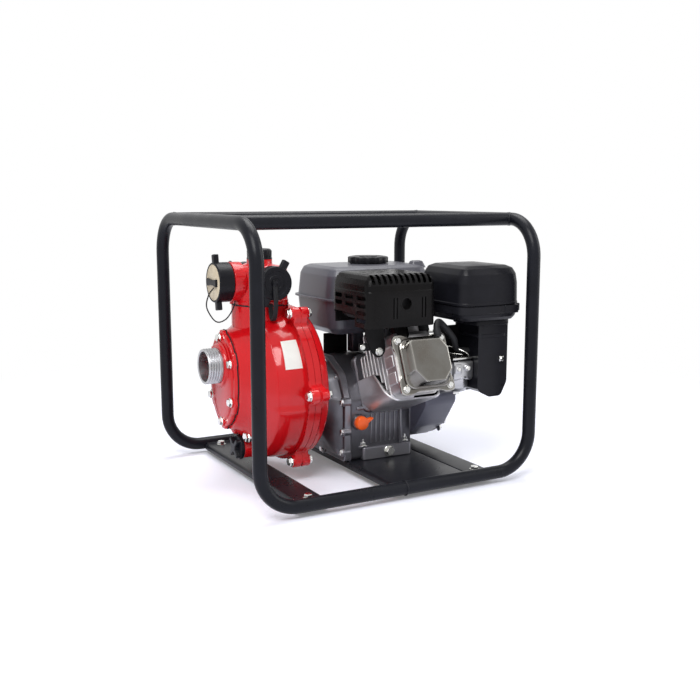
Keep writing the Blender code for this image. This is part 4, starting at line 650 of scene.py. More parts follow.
class FIREPUMP_OT_camera(bpy.types.Operator):
    """Camera at the photograph's viewing angle"""

    bl_idname = "fire_pump.camera"
    bl_label = "Camera"

    def execute(self, context):
        data = bpy.data.cameras.new("view")
        data.lens = 48.88
        data.sensor_width = 36.0
        camera = bpy.data.objects.new("view", data)
        camera.location = (-0.7822, -1.4428, 0.4767)
        camera.rotation_euler = (math.radians(90 - 9.21), 0.0, math.radians(-28.99))
        bpy.context.scene.collection.objects.link(camera)
        bpy.context.scene.camera = camera
        return {"FINISHED"}


class FIREPUMP_OT_tethers(bpy.types.Operator):
    """Thin cord of the end cap and flat strap of the near cap"""

    bl_idname = "fire_pump.tethers"
    bl_label = "Cap tethers"

    def execute(self, context):
        face = np.array((-225.4, 28.0, 336.3))
        root = np.array((-190.0, 16.0, 310.7))
        stops = [face + (0, -6, -8), face + (-11, -10, -20), face + (-15, -12, -40)]
        stops += [face + (0, -12, -63), face + (18, -12, -60), root + (-4, 0, -16), root]
        path = smooth_route(stops, 6)
        end = piece("tether_end", [tube(path, 1.1, 12)], "rubber", ["tether_end"])
        self.declare(end, path, 2.2)

        face = np.array((-144.0, -41.3, 336.3))
        flange = np.array((-144.0, -22.3, 301.3))
        stops = [face, face + (0, -2, -26), face + (0, 0.5, -48), face + (0, 7.3, -60)]
        stops += [flange + (0, -4.2, -23), flange + (0, -0.5, -9), flange]
        path = smooth_route(stops, 6)
        ahead = unit(np.gradient(path, axis=0))
        out = unit(np.cross((1.0, 0.0, 0.0), ahead))
        section = box_outline(8.0, 2.0, 0.8, 3)
        across = np.array((1.0, 0.0, 0.0)) * section[None, :, :1]
        rings = path[:, None] + across + out[:, None] * section[None, :, 1:]
        near = piece("tether_near", [loft(rings)], "rubber", ["tether_near"])
        self.declare(near, path, 8.0)
        button = [(-42.2, 4.2), (-43.4, 4.2), (-43.9, 3.4)]
        eye = turned(ALONG_Y, (-144, 0, 336.3), button, 20)
        piece("tether_button", [eye], "plastic")
        return {"FINISHED"}

    def declare(self, made, path, width):
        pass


class FIREPUMP_OT_frame(bpy.types.Operator):
    """Two bent tube hoops and two top rails, with their weld beads"""

    bl_idname = "fire_pump.frame"
    bl_label = "Tube frame"

    def execute(self, context):
        looks = context.scene.fire_pump
        width = mm(looks.weld)
        for side, end in ((-1, "pump"), (1, "engine")):
            x = HOOP_X * side
            start = 0.15 * side
            corners = [(start, -HOOP_Y, LOW_Z), (x, -HOOP_Y, LOW_Z), (x, -HOOP_Y, TOP_Z)]
            corners += [(x, HOOP_Y, TOP_Z), (x, HOOP_Y, LOW_Z), (start, HOOP_Y, LOW_Z)]
            skins = [tube(rounded(corners, HOOP_BEND, 14, False), TUBE, 32)]
            if side < 0:
                skins += [self.seam(y, width) for y in (-HOOP_Y, HOOP_Y)]
            piece(f"end_hoop_{end}", skins, "frame_coat", [f"end_hoop_{end}"])
        for y, side in ((-RAIL_Y, "near"), (RAIL_Y, "far")):
            path = [(x, y, TOP_Z) for x in (-246, -200, 200, 246)]
            skins = [tube(path, TUBE, 32)]
            skins += [self.saddle(x, y, width) for x in (-HOOP_X, HOOP_X)]
            piece(f"top_rail_{side}", skins, "frame_coat", [f"top_rail_{side}"])
        return {"FINISHED"}

    def seam(self, y, width):
        """Ring weld: a round bead about the tube, with ripples round it."""
        turn = np.linspace(0, TURN, 96, endpoint=False)
        path = np.stack((0 * turn, y + TUBE * np.cos(turn), LOW_Z + TUBE * np.sin(turn)), 1)
        ripple = width * 0.26 * (1 + 0.12 * np.sin(turn * 22))
        return tube(path, ripple, 10, True)

    def saddle(self, x, y, width):
        """Weld along the line where a rail's tube enters a hoop's tube of the same size."""
        turn = np.linspace(0, TURN, 96, endpoint=False)
        away = x - math.copysign(TUBE, x) * np.abs(np.cos(turn))
        path = np.stack((away, y + TUBE * np.cos(turn), TOP_Z + TUBE * np.sin(turn)), 1)
        ripple = width * 0.24 * (0.35 + 0.65 * np.abs(np.cos(turn))) * (1 + 0.12 * np.sin(turn * 22))
        return tube(path, ripple, 8, True)


class FIREPUMP_OT_base(bpy.types.Operator):
    """Cross bars, engine base plate, rubber feet and foot bolts"""

    bl_idname = "fire_pump.base"
    bl_label = "Base"

    def execute(self, context):
        sheet = 3
        for name in ("cross_bar_pump", "cross_bar_engine", "engine_base_plate"):
            low, high = cad(name)
            skins = [self.channel(low, high, sheet)]
            skins += [self.bead(low, high, y) for y in (low[1], high[1])]
            piece(name, skins, "frame_coat", [name])
        for end, x in (("pump", -157), ("engine", 157)):
            for side, y in (("near", -182), ("far", 182)):
                foot = [(2.5, 4), (2.5, 6), (0, 8), (0, 12), (3, 12.4), (12, 15), (15.7, 15)]
                skin = turned(ALONG_Z, (x, y, 0), foot, 36, 1.0)
                piece(f"rubber_foot_{end}_{side}", [skin], "rubber", [f"rubber_foot_{end}_{side}"])
                skins = bolt(ALONG_Z, (x, y, 19.1), 7.6)
                piece(f"foot_bolt_{end}_{side}", skins, "zinc", [f"foot_bolt_{end}_{side}"])
        return {"FINISHED"}

    def channel(self, low, high, sheet):
        """Plate with both long edges turned down over a bend, carried along Y."""
        left, _, bottom = low
        right, _, top = high
        outer = [(left, bottom), (left, top), (right, top), (right, bottom)]
        inner = [(right - sheet, bottom), (right - sheet, top - sheet)]
        inner += [(left + sheet, top - sheet), (left + sheet, bottom)]
        outline = rounded(outer + inner, [0.4, 5, 5, 0.4, 0.4, 2, 2, 0.4], 5)
        return layered(ALONG_Y, (0, 0, 0), [(low[1], outline), (high[1], outline)])

    def bead(self, low, high, y):
        """Weld bead along the end of a bar, where it meets the bottom rail."""
        x = np.linspace(low[0] + 4, high[0] - 4, 60)
        path = np.stack((x, np.full_like(x, y), np.full_like(x, high[2] - 0.6)), 1)
        return tube(path, 2.0 * (1 + 0.15 * np.sin(x * 1.6)), 10)


def casing_ring(x, angle, lift=0.0):
    """Points of the casing's dome at places along it and angles round it.

    The radius, the rise of the middle and the squeeze of the width follow smooth curves from
    the flange to the suction cover's seat. A low step runs round the lower half.
    """
    stops = [(116.0, 125.0, 0.0, 1.0), (125.0, 125.0, 0.0, 1.0), (143.6, 123.5, 0.0, 1.0)]
    stops += [(158.0, 118.5, 0.4, 1.0), (165.0, 113.5, 1.4, 1.0), (180.8, 97.5, 6.4, 0.94)]
    stops += [(192.5, 88.5, 9.4, 0.82), (203.5, 83.5, 11.0, 0.71)]
    curve = smooth_route(stops, 8)
    radius, rise, squeeze = (np.interp(-x, curve[:, 0], curve[:, k]) for k in (1, 2, 3))
    height = np.sin(angle) * radius[:, None]
    step = np.clip((-22 - height) / 2, 0, 1) * np.clip((x[:, None] + 172) / 10, 0, 1)
    out = radius[:, None] + lift + 3.6 * step
    y = PUMP[1] + np.cos(angle) * out * squeeze[:, None]
    z = PUMP[2] + rise[:, None] + np.sin(angle) * out
    return np.stack((np.broadcast_to(x[:, None], y.shape), y, z), -1)


class FIREPUMP_OT_casing(bpy.types.Operator):
    """Pump casing, bracket ring behind it, their bolts and the bare label"""

    bl_idname = "fire_pump.casing"
    bl_label = "Pump casing"

    def execute(self, context):
        looks = context.scene.fire_pump
        ears = eared(134, 6, 151, 11.0, math.pi, 8.0)
        flange = swept(ALONG_X, PUMP, ears, [(-104, 0.4), (-104.4, 0), (-114.6, 0), (-116, 1.4)])
        turn = np.linspace(0, TURN, 160, endpoint=False)
        rows = casing_ring(np.linspace(-113, -203.5, 60), turn)
        throat = np.stack((0 * turn, np.cos(turn) * 0.71, np.sin(turn)), 1)
        bore = [COVER + (-203.5, 0, 0) + throat * 70, COVER + (-150, 0, 0) + throat * 66]
        dome = loft(np.concatenate((rows, bore)))
        neck = [(236, 46.5), (272, 46.5), (296.2, 46.5), (297, 46)]
        points, faces = turned(ALONG_Z, (-143, 28, 0), neck, 64)
        points[:, 0] = np.minimum(points[:, 0], -104.3)
        skins = [flange, dome, (points, faces)]
        boss = [(-154, 22), (-170, 19.5), (-184, 19), (-185, 18)]
        skins.append(turned(ALONG_X, DRAIN, boss, 40, 1.5))
        skins += bossed(COVER_BOLTS, [(-150, 13), (-176, 11.5), (-202.9, 10.5), (-203.5, 10)])
        knuckle = [(-170, 11), (-190, 9.5), (-195, 8), (-197, 4)]
        skins.append(turned(ALONG_X, (0, 26, 87), knuckle, 24, 2.0))
        angles = math.pi + np.arange(6) * TURN / 6
        places = np.stack((np.cos(angles), np.sin(angles)), 1) * 144 + PUMP[1:]
        skins += bossed(places, [(-106, 10.6), (-118.5, 10.4), (-119.5, 9.6)])
        piece("pump_casing", skins, "enamel", ["pump_casing"], sharp=42)

        skins = [swept(ALONG_X, PUMP, ears, [(-91.7, 1.4), (-93.1, 0), (-103.3, 0), (-103.7, 0.4)])]
        round_ring = circle(1.0, 96)
        layers = [(-93, round_ring * 131), (-82, round_ring * 129.5), (-77, round_ring * 127 - (0, 1))]
        layers += [(-73.5, round_ring * 121 - (0, 3)), (-71.5, round_ring * 110 - (0, 8))]
        layers += [(-70, round_ring * 88 - (0, 19)), (-68.3, round_ring * 57 - (0, 32))]
        skins.append(layered(ALONG_X, PUMP, layers))
        skins += bossed(places, [(-102, 10.6), (-89.5, 10.4), (-88.5, 9.6)])
        piece("pump_bracket", skins, "enamel", ["pump_bracket"], sharp=42)

        size = mm(looks.casing_bolt)
        skins = bolts(BACK_X, [(-119.4, y, z) for y, z in places], size)
        skins += bolts(ALONG_X, [(-88.6, y, z) for y, z in places], size)
        piece("casing_bolts", skins, "zinc")
        plug = bolt(BACK_X, (-181.5, -7.4, 78.8), 9.0)
        plug.append(turned(BACK_X, (-181.5, -7.4, 78.8), [(-14, 9), (0.1, 9)], 20))
        piece("casing_plug", plug, "zinc")
        self.label()
        return {"FINISHED"}

    def label(self):
        """Thin patch that follows the dome: the same grid at two heights, joined round the edge."""
        top = np.radians(137.5)
        low = np.radians(160.5)
        rows = []
        for share in np.linspace(0, 1, 10):
            along = np.linspace(-146 - 2.5 * share, -119.5, 12)
            angle = np.array([top + (low - top) * share])
            outer = casing_ring(along, angle, 0.45)[:, 0]
            inner = casing_ring(along[::-1], angle, -0.4)[:, 0]
            rows.append(np.vstack((outer, inner)))
        piece("casing_label", [loft(rows)], "label")


class FIREPUMP_OT_suction(bpy.types.Operator):
    """Suction cover with its gasket and bolts, and the threaded inlet nipple"""

    bl_idname = "fire_pump.suction"
    bl_label = "Suction cover"

    def execute(self, context):
        looks = context.scene.fire_pump
        sides = 216
        oval = np.array((0.71, 1.0))
        rim = radial(eared(79, 6, 84, 10.5, math.pi / 2, 7.0) * oval, sides)
        ray = circle(1.0, sides)
        layers = [(-205.4, rim), (-209.4, rim), (-210.4, inset(rim, 0.5)), (-210.9, inset(rim, 1.6))]
        slope = [(211.0, 72, 0.71, 0), (211.3, 69, 0.71, 0.2), (213.0, 66, 0.72, 1), (214.0, 54, 0.8, 9)]
        slope += [(214.8, 45, 0.9, 18), (215.6, 39.5, 1, 25.5), (216.6, 36.6, 1, 25.5)]
        slope += [(219.4, 35.4, 1, 25.5), (220.1, 34.2, 1, 25.5)]
        for x, radius, squeeze, rise in smooth_route(slope, 3):
            layers.append((-x, ray * radius * (squeeze, 1.0) + (-rise / 8.5, rise)))
        layers += [(-220.1, ray * 25 + (-3, 25.5)), (-209.4, ray * 25 + (-3, 25.5))]
        layers += [(-209.4, ray * 62 * oval), (-205.4, ray * 62 * oval)]
        skins = [layered(ALONG_X, COVER, layers, True)]
        skins += bossed(COVER_BOLTS, [(-205.4, 9), (-212.4, 9), (-213, 8.4)])
        piece("suction_cover", skins, "enamel", ["suction_cover"], sharp=42)
        places = [(-212.9, y, z) for y, z in COVER_BOLTS]
        piece("cover_bolts", bolts(BACK_X, places, mm(looks.cover_bolt)), "zinc")

        lip = inset(rim, -0.7)
        layers = [(-203.4, lip), (-205.6, lip), (-205.6, ray * 62 * oval), (-203.4, ray * 62 * oval)]
        gasket = layered(ALONG_X, COVER, layers, True)
        piece("cover_gasket", [gasket], "rubber", ["cover_gasket"])
        piece("inlet_nipple", [self.nipple(mm(looks.thread_pitch))], "bright_alloy", ["inlet_nipple"])
        return {"FINISHED"}

    def nipple(self, pitch):
        """Threaded tube: the outer radius falls and rises once a pitch, shifted round by a helix."""
        turn = np.linspace(0, TURN, 72, endpoint=False)
        along = np.linspace(0.0, 24.0, 110)
        phase = along[:, None] / pitch - turn / TURN
        wave = np.abs((phase % 1.0) * 2 - 1)
        fade = np.clip((along - 3) / 2, 0, 1) * np.clip((23.6 - along) / 1.5, 0, 1)
        radius = 29.8 - 2.1 * wave * fade[:, None] - np.clip((along - 22.5) / 1.5, 0, 1)[:, None]
        inner = np.array((24.0, 23.2, 12.0, 0.0))
        bore = np.array((26.2, 25.2, 25.0, 25.0))
        reach = np.concatenate((along, inner))
        size = np.vstack((radius, np.repeat(bore[:, None], len(turn), 1)))
        x = np.broadcast_to(-220.4 - reach[:, None], size.shape)
        y = INLET[1] + size * np.cos(turn)
        z = INLET[2] + size * np.sin(turn)
        return loft(np.stack((x, y, z), -1), True)


class FIREPUMP_OT_manifold(bpy.types.Operator):
    """Discharge manifold, its gasket, the outlet caps and the priming plug"""

    bl_idname = "fire_pump.manifold"
    bl_label = "Discharge manifold"

    def execute(self, context):
        base = (-141, 28, 0)
        column = [(298, 47), (304, 47.5), (306, 46.5), (354, 46.5), (360, 41), (363.2, 24), (364, 21.5)]
        column += [(372.3, 21.5)]
        skins = [turned(ALONG_Z, base, column, 64, 3.0)]
        stub = [(-150, 31), (-176, 27), (-178, 33), (-196.8, 33), (-197.6, 31)]
        stub += [(-197.8, 27), (-218.4, 27)]
        skins.append(turned(ALONG_X, (0, 28, 336.3), stub, 48, 1.2))
        sides = [(-34.4, 22.5), (-19.6, 22.5), (-19.4, 26), (-14, 28), (70, 28), (75.4, 26)]
        sides += [(75.6, 22.5), (90.4, 22.5)]
        skins.append(turned(ALONG_Y, (-141, 0, 336.3), sides, 48, 1.0))
        for angle in (0.35, 2.79, -0.9, -2.24):
            arm = spoke(ALONG_Z, angle)
            foot = np.array((-141, 28, 301.6)) + arm[0] * 42
            skins.append(turned(ALONG_Z, (foot[0], foot[1], 0), [(297.8, 9), (306.4, 9), (307, 8)], 24))
        piece("discharge_manifold", skins, "enamel", ["discharge_manifold"], sharp=42)
        seal = turned(ALONG_Z, base, [(296.2, 47), (296.4, 48.2), (298.6, 48.2), (298.8, 47)], 64)
        piece("manifold_gasket", [seal], "rubber")

        cup = [(-198, 27.8), (-198, 32.2), (-199, 33), (-223, 33), (-224.4, 32), (-224.4, 29.8)]
        cup += [(-223.4, 29.4)]
        axis = (0, 28, 336.3)
        skins = [turned(ALONG_X, axis, cup, 64, 0.5)]
        skins += [lug(ALONG_X, axis, turn, 30, 46, 12, -222, -213) for turn in np.radians((82, -99))]
        half = [(20, 6.5), (6, 4.6), (-6, 4.6), (-20, 6.5)]
        bow = rounded(half + [(x, -y) for x, y in half[::-1]], 1.5)
        skins.append(swept(BACK_X, axis, bow, [(223, 0), (227, 0), (227.8, 0.8)], 0.3))
        piece("outlet_cap_end", skins, "plastic", ["outlet_cap_end"], "end_cap")
        disc = turned(BACK_X, axis, [(223, 29.5), (223.9, 29.5), (224.2, 29)], 64)
        piece("end_cap_face", [disc], "cap_face", body="end_cap")

        axis = (-141, 0, 336.3)
        face = [(20, 23.2), (20, 27.4), (21, 28), (38.6, 28), (40, 26.8), (40, 20.5)]
        face += [(39.2, 20), (39.2, 14), (39.9, 13.4), (39.9, 9), (39.4, 8.6), (39.4, 6.5), (40.1, 6)]
        self.side_cap("near", BACK_Y, axis, face, 60, 0)
        self.side_cap("far", ALONG_Y, axis, [(at + 56, radius) for at, radius in face], 140, 56)

        plug = [(372.6, 19.5), (373.4, 20.5), (386.5, 20.5), (388.6, 19), (389.6, 17)]
        flutes = 0.9 * np.cos(np.arange(96) * TURN / 96 * 24)
        points, faces = turned(ALONG_Z, base, plug, 96, 1.0)
        rows = len(points) // 96
        out = points.reshape(rows, 96, 3) - np.array((-141, 28, 0))
        band = np.clip((out[:, :1, 2] - 373.5) / 1.5, 0, 1) * np.clip((387 - out[:, :1, 2]) / 1.5, 0, 1)
        out[:, :, :2] *= (1 + band * flutes / 20.5)[..., None]
        points = (out + np.array((-141, 28, 0))).reshape(-1, 3)
        drive = boxed(ALONG_Z, base, 15, 15, 2.5, [(386, 0), (388.8, 0), (389.5, 0.8)])
        ringed = turned(ALONG_Z, base, [(372.5, 21.4), (374.6, 21.4), (375, 20.6)], 64)
        piece("priming_plug", [(points, faces), drive, ringed], "plastic", ["priming_plug"], "plug")
        return {"FINISHED"}

    def side_cap(self, side, axes, axis, face, angle, shift):
        """Screw cap on a side outlet: a turned cup with rings on its face and two lugs."""
        name = f"outlet_cap_{side}"
        skins = [turned(axes, axis, face, 64, 0.35)]
        for turn in (math.radians(angle), math.radians(angle + 180)):
            skins.append(lug(axes, axis, turn, 25, 41, 12, 29 + shift, 38 + shift))
        piece(name, skins, "plastic", [name], f"{side}_cap")


class FIREPUMP_OT_drain(bpy.types.Operator):
    """Drain knob with its cross-shaped grip"""

    bl_idname = "fire_pump.drain"
    bl_label = "Drain knob"

    def execute(self, context):
        rim = [(185.3, 16), (185.3, 20), (186.2, 21), (191, 21), (192, 20)]
        disc = turned(BACK_X, DRAIN, rim, 56, 0.5)
        outline = star(6.5, 4, 20.4, 7.5, math.pi / 4, 3.0, 2.5)
        grip = swept(BACK_X, DRAIN, outline, [(191, 0), (198, 0), (199.2, 1.0)], 0.5)
        hub = turned(BACK_X, DRAIN, [(191, 8), (198.4, 8), (199.3, 7)], 32, 0.4)
        edge = circle(1.0, 96)
        ridges = edge * (20.6 + 0.5 * np.cos(np.arange(96) * TURN / 96 * 24))[:, None]
        knurl = layered(BACK_X, DRAIN, [(186.6, ridges), (190.8, ridges)])
        piece("drain_knob", [disc, grip, hub, knurl], "plastic", ["drain_knob"], "drain")
        return {"FINISHED"}


def fin(start, thick, rise):
    """Cooling fin round the cylinder, which stands up higher on its upper side."""
    near = start + 10.4 - thick
    steps = [(near, 1.2), (near + 1, 0.2), (near + thick - 1, 0.2), (near + thick, 1.2)]
    middle = CYLINDER + ALONG_CYLINDER[2] * rise / 2
    return boxed(ALONG_CYLINDER, middle, 92, 92 + rise, 10, steps)


def case_outline():
    """Outline of the crankcase about the crank's axis."""
    points = [(80, -53), (80, -106), (-80, -106), (-80, -53), (-80, 0), (-57.6, 44.9), (-12, 69)]
    points += [(52, 66.9), (80, 31)]
    return rounded(points, [4, 8, 8, 4, 20, 24, 24, 22, 20], 5)


class FIREPUMP_OT_crankcase(bpy.types.Operator):
    """Crankcase, side cover, their bolts, and the oil dipstick"""

    bl_idname = "fire_pump.crankcase"
    bl_label = "Crankcase"

    def execute(self, context):
        looks = context.scene.fire_pump
        outline = case_outline()
        skins = [swept(ALONG_X, CRANK, outline, [(-10, 1.5), (-8.5, 0), (108.5, 0), (110, 1.5)])]
        foot = [(23.3, 1.2), (24.5, 0), (43.6, 0), (45.5, 1.7)]
        skins.append(boxed(ALONG_Z, (61, 28, 0), 98, 172, 5, foot))
        for x in (14.5, 99):
            pad = [(45, 1.5), (47.8, 0.3), (48.5, 1)]
            skins.append(boxed(ALONG_Z, (x, -47, 0), 20, 20, 5, pad))
        for x in np.arange(30, 88, 9.5):
            skins.append(slab((x - 1.6, -54, 52), (x + 1.6, -50, 104), 1.2))
        skins.append(slab((86, -57.5, 43), (92, -48, 116), 2.0))
        skins.append(slab((0, -55, 112), (108, -46, 120), 3.0))
        deck = [(58, 1.5), (60, 0), (73, 0), (75, 2)]
        skins.append(boxed(ALONG_CYLINDER, CYLINDER, 106, 103, 16, deck))
        boss = [(-40, 15), (-53, 14), (-58, 12.4), (-58.2, 11.5)]
        skins.append(turned(ALONG_Y, (5, 0, 92.3), boss, 32, 1.0))
        # crankcase in the cast alloy that is darkened as painted shade
        piece("crankcase", skins, "case_alloy", ["crankcase"])
        piece("cylinder_barrel", [*self.barrel(mm(looks.fin)), self.cradle()], "alloy")
        fasteners = []
        for x in (14.5, 99):
            fasteners += bolt(ALONG_Z, (x, -49, 48.4), 7.5)
            fasteners.append(turned(ALONG_Z, (x, -49, 0), [(51, 3.4), (60, 3.4), (61, 2.6)], 16))
        fasteners += bolt(BACK_Y, (63.4, -57.9, 35), 9.0)
        piece("crankcase_bolts", fasteners, "zinc")
        self.cover(outline)
        self.dipstick()
        return {"FINISHED"}

    def barrel(self, thick):
        """Cooling fins at one pitch along the cylinder, round a plain core."""
        core = boxed(ALONG_CYLINDER, CYLINDER, 80, 80, 12, [(60, 0), (131, 0)])
        skins = [core]
        for start in 76 + FIN_PITCH * np.arange(5):
            skins.append(fin(start, thick, FIN_RISE if start > 90 else 0))
        return skins

    def cradle(self):
        """Cup under the cylinder: a bent strip along it, with its rim set back as it climbs."""
        outer = [(-53, 4), (-53, -53), (53, -53), (53, -20)]
        inner = [(46.5, -20), (46.5, -46.5), (-46.5, -46.5), (-46.5, 4)]
        outline = rounded(outer + inner, [2, 26, 26, 2, 2, 20, 20, 2], 6)
        edges = [(66, 0), (160, 0), (164, 0.6), (166, 2.4)]
        points, faces = swept(ALONG_CYLINDER, CYLINDER, outline, edges)
        along, _, up = ALONG_CYLINDER @ (points - CYLINDER).T
        back = 36 * np.clip((up + 48) / 50, 0, 1) * np.clip((along - 66) / 94, 0, 1)
        return points - back[:, None] * ALONG_CYLINDER[0], faces

    def cover(self, outline):
        """Side cover: layers that shrink from the crankcase's outline to a round face."""
        rim = radial(outline, 144)
        ray = circle(1.0, 144)
        layers = [(-10.3, rim), (-20.6, rim), (-21.8, inset(rim, 1.2)), (-22.3, rim * 0.95)]
        for share in np.linspace(0, 1, 9):
            bend = share**1.6
            mix = rim * (0.93 - 0.13 * share) * (1 - bend) + ray * 61 * bend
            layers.append((-23 - 27.7 * share**0.8, mix))
        layers += [(-52, ray * 59.5), (-66.8, ray * 56.6), (-68, ray * 55.6)]
        skins = [layered(ALONG_X, CRANK, layers)]
        bosses = ((-44, 40), (-46, 76), (-46, 128), (-22, 165), (18, 189), (72, 187), (101, 150))
        bosses += ((101, 90), (100, 40), (28, 30))
        skins += bossed(bosses, [(-10.4, 8.5), (-23.6, 8.2), (-24.4, 7.4)])
        # side cover in the cast alloy that is darkened as painted shade
        piece("side_cover", skins, "case_alloy", ["side_cover"])
        piece("side_cover_bolts", bolts(BACK_X, [(-24.3, y, z) for y, z in bosses], 6.0, False), "zinc")

    def dipstick(self):
        """Round head with a pointed tab, and ridges round its rim."""
        place = (5, 0, 92.3)
        tab = [(7, -5.2), (21, -1.4), (22.4, 0), (21, 1.4), (7, 5.2), (-5, 4), (-5, -4)]
        pointer = rounded(turned_by(tab, math.radians(20)), [2, 1, 1, 1, 2, 2, 2], 4)
        head = [(58.3, 10.5), (58.3, 11.4), (59, 12), (66, 12), (69, 10.8), (70.2, 8)]
        skins = [turned(BACK_Y, place, head, 48, 0.8)]
        skins.append(swept(BACK_Y, place, pointer, [(61.5, 0), (68, 0), (69.4, 1.2)], 0.5))
        piece("dipstick", skins, "dipstick", ["dipstick"], "oil_dipstick")


class FIREPUMP_OT_cylinder(bpy.types.Operator):
    """Cylinder head, valve cover and spark plug"""

    bl_idname = "fire_pump.cylinder"
    bl_label = "Cylinder head"

    def execute(self, context):
        looks = context.scene.fire_pump
        thick = mm(looks.fin)
        skins = [boxed(ALONG_CYLINDER, CYLINDER, 80, 80, 10, [(131.3, 0), (166, 0)])]
        skins += [fin(start, thick, FIN_RISE) for start in 131.3 + FIN_PITCH * np.arange(3)]
        block = [(164.5, 1.5), (166, 0), (196, 0), (198, 2), (198.3, -3), (200, -4.5), (203.3, -4.5)]
        skins.append(boxed(ALONG_CYLINDER, CYLINDER, 92, 84, 9, block))
        for x, up in ((-47, 12), (-47, -16), (47, -16)):
            pad = [(168, 1), (169, 0), (193, 0), (194, 1)]
            middle = CYLINDER + ALONG_CYLINDER[1] * x * 0.97 + ALONG_CYLINDER[2] * up
            skins.append(boxed(ALONG_CYLINDER, middle, 7, 20, 2.5, pad))
        port = CYLINDER + ALONG_CYLINDER[0] * 168 - ALONG_CYLINDER[1] * 2
        rise = [(36, 0), (52, 1), (57, 3), (58.5, 6)]
        skins.append(boxed(OVER_CYLINDER, port, 74, 56, 9, rise, 2.0))
        piece("cylinder_head", skins, "alloy", ["cylinder_head"])
        self.valve_cover()
        self.spark_plug()
        return {"FINISHED"}

    def valve_cover(self):
        """Pressed cover: a waisted flange with four ears, a bead, then a face with cut corners."""
        sides = 192
        half = [(52, 30), (52, 50), (34, 50), (20, 45.5), (-20, 45.5), (-34, 50), (-52, 50), (-52, 30)]
        half += [(-47.5, 18), (-47.5, -18), (-52, -30), (-52, -50), (-34, -50), (-20, -45.5)]
        half += [(20, -45.5), (34, -50), (52, -50), (52, -30), (47.5, -18), (47.5, 18)]
        radii = [8, 13, 8, 14, 14] * 4
        flange = radial(rounded(half, radii, 5), sides)
        foot = radial(box_outline(88, 84, 16), sides)
        bead = radial(box_outline(85, 81, 18), sides)
        brow = radial(box_outline(80, 77, 20), sides)
        face = [(35, 20), (24, 35), (-35, 35), (-35, -14), (-17, -35), (19, -35), (35, -17)]
        panel = radial(rounded(face, 3.0, 4), sides)
        seat = 203.6
        rise = [(0, flange), (3.0, flange), (4.0, inset(flange, 0.9)), (4.3, foot * 1.05)]
        rise += [(5.0, foot), (9.5, foot * 0.99), (10.6, inset(foot, 1.6)), (11.2, inset(foot, 3.6))]
        rise += [(11.6, bead * 0.96), (13.0, brow), (19, brow * 0.6 + panel * 0.4)]
        rise += [(28.6, panel * 1.02), (30.4, panel * 0.99), (31.0, panel * 0.955), (31.1, panel * 0.90)]
        skins = [layered(ALONG_CYLINDER, CYLINDER, [(seat + up, outline) for up, outline in rise])]
        piece("valve_cover", skins, "pressed_steel", ["valve_cover"], sharp=30)
        corners = [(42, 40), (-42, 40), (-42, -40), (42, -40)]
        places = [ring(ALONG_CYLINDER, CYLINDER, seat + 3.9, [corner])[0] for corner in corners]
        piece("valve_cover_bolts", bolts(ALONG_CYLINDER, places, 5.6), "zinc")

    def spark_plug(self):
        root = CYLINDER + ALONG_CYLINDER[0] * 185.2
        root[0] = 92.0
        steel = [(40.6, 10.4), (43, 10.4), (43.4, 9)]
        hexagon = [(43, circle(10.2, 6)), (49, circle(10.2, 6)), (49.6, circle(9, 6))]
        nut = layered(OVER_CYLINDER, root, hexagon)
        piece("spark_plug_nut", [turned(OVER_CYLINDER, root, steel, 32), nut], "zinc")
        boot = [(48, 6.6), (50, 7.2), (57.5, 7.2), (58, 9), (68, 9), (70.4, 7.6), (71.3, 5)]
        skins = [turned(OVER_CYLINDER, root, boot, 36, 1.0)]
        piece("spark_plug", skins, "rubber", ["spark_plug"])


class FIREPUMP_OT_tank(bpy.types.Operator):
    """Fuel tank with its seam, and the fluted fuel cap"""

    bl_idname = "fire_pump.tank"
    bl_label = "Fuel tank"

    def execute(self, context):
        middle = (69.5, 45.5, 0)
        wall = [(240.3, 26), (240.3, 20), (251, 9), (299.3, 4), (303.3, 4), (341, 8), (352, 14)]
        wall += [(356.3, 25), (356.4, 60)]
        skins = [boxed(ALONG_Z, middle, 215, 161, 32, wall, 6.0)]
        seam = [(299.6, -1.4), (300, -2), (302.6, -2), (303, -1.4)]
        skins.append(boxed(ALONG_Z, middle, 215, 161, 32, seam))
        for x in (54, 94):
            skins.append(slab((x - 12, 36, 198.6), (x + 12, 56, 250), 1.5))
        neck = [(355, 29), (357, 27.5), (364.3, 26)]
        skins.append(turned(ALONG_Z, (85, 55, 0), neck, 40))
        vent = [(350, -3), (357, 1), (361, 3), (362.5, 7)]
        skins.append(boxed(ALONG_Z, (152, -2, 0), 28, 20, 7, vent, 4.0))
        piece("fuel_tank", skins, "tank_paint", ["fuel_tank"])

        turn = np.arange(144) * TURN / 144
        wave = np.clip(np.cos(turn * 12) * 1.6, -1, 1)
        rim = circle(1.0, 144) * (35.6 + 0.9 * wave)[:, None]
        plain = circle(1.0, 144)
        layers = [(357.1, plain * 33), (357.4, rim * 0.985), (358.2, rim), (366.6, rim)]
        layers += [(367.8, rim * 0.985), (368.6, plain * 33.6), (369.0, plain * 32), (369.1, plain * 27)]
        layers += [(368.3, plain * 26), (368.3, plain * 17), (369.6, plain * 16), (370.1, plain * 14.5)]
        cap = layered(ALONG_Z, (85, 55, 0), layers)
        bar = slab((71, 51.5, 366.5), (99, 58.5, 370.0), 1.2)
        piece("fuel_cap", [cap, bar], "plastic", ["fuel_cap"], "tank_cap")
        return {"FINISHED"}


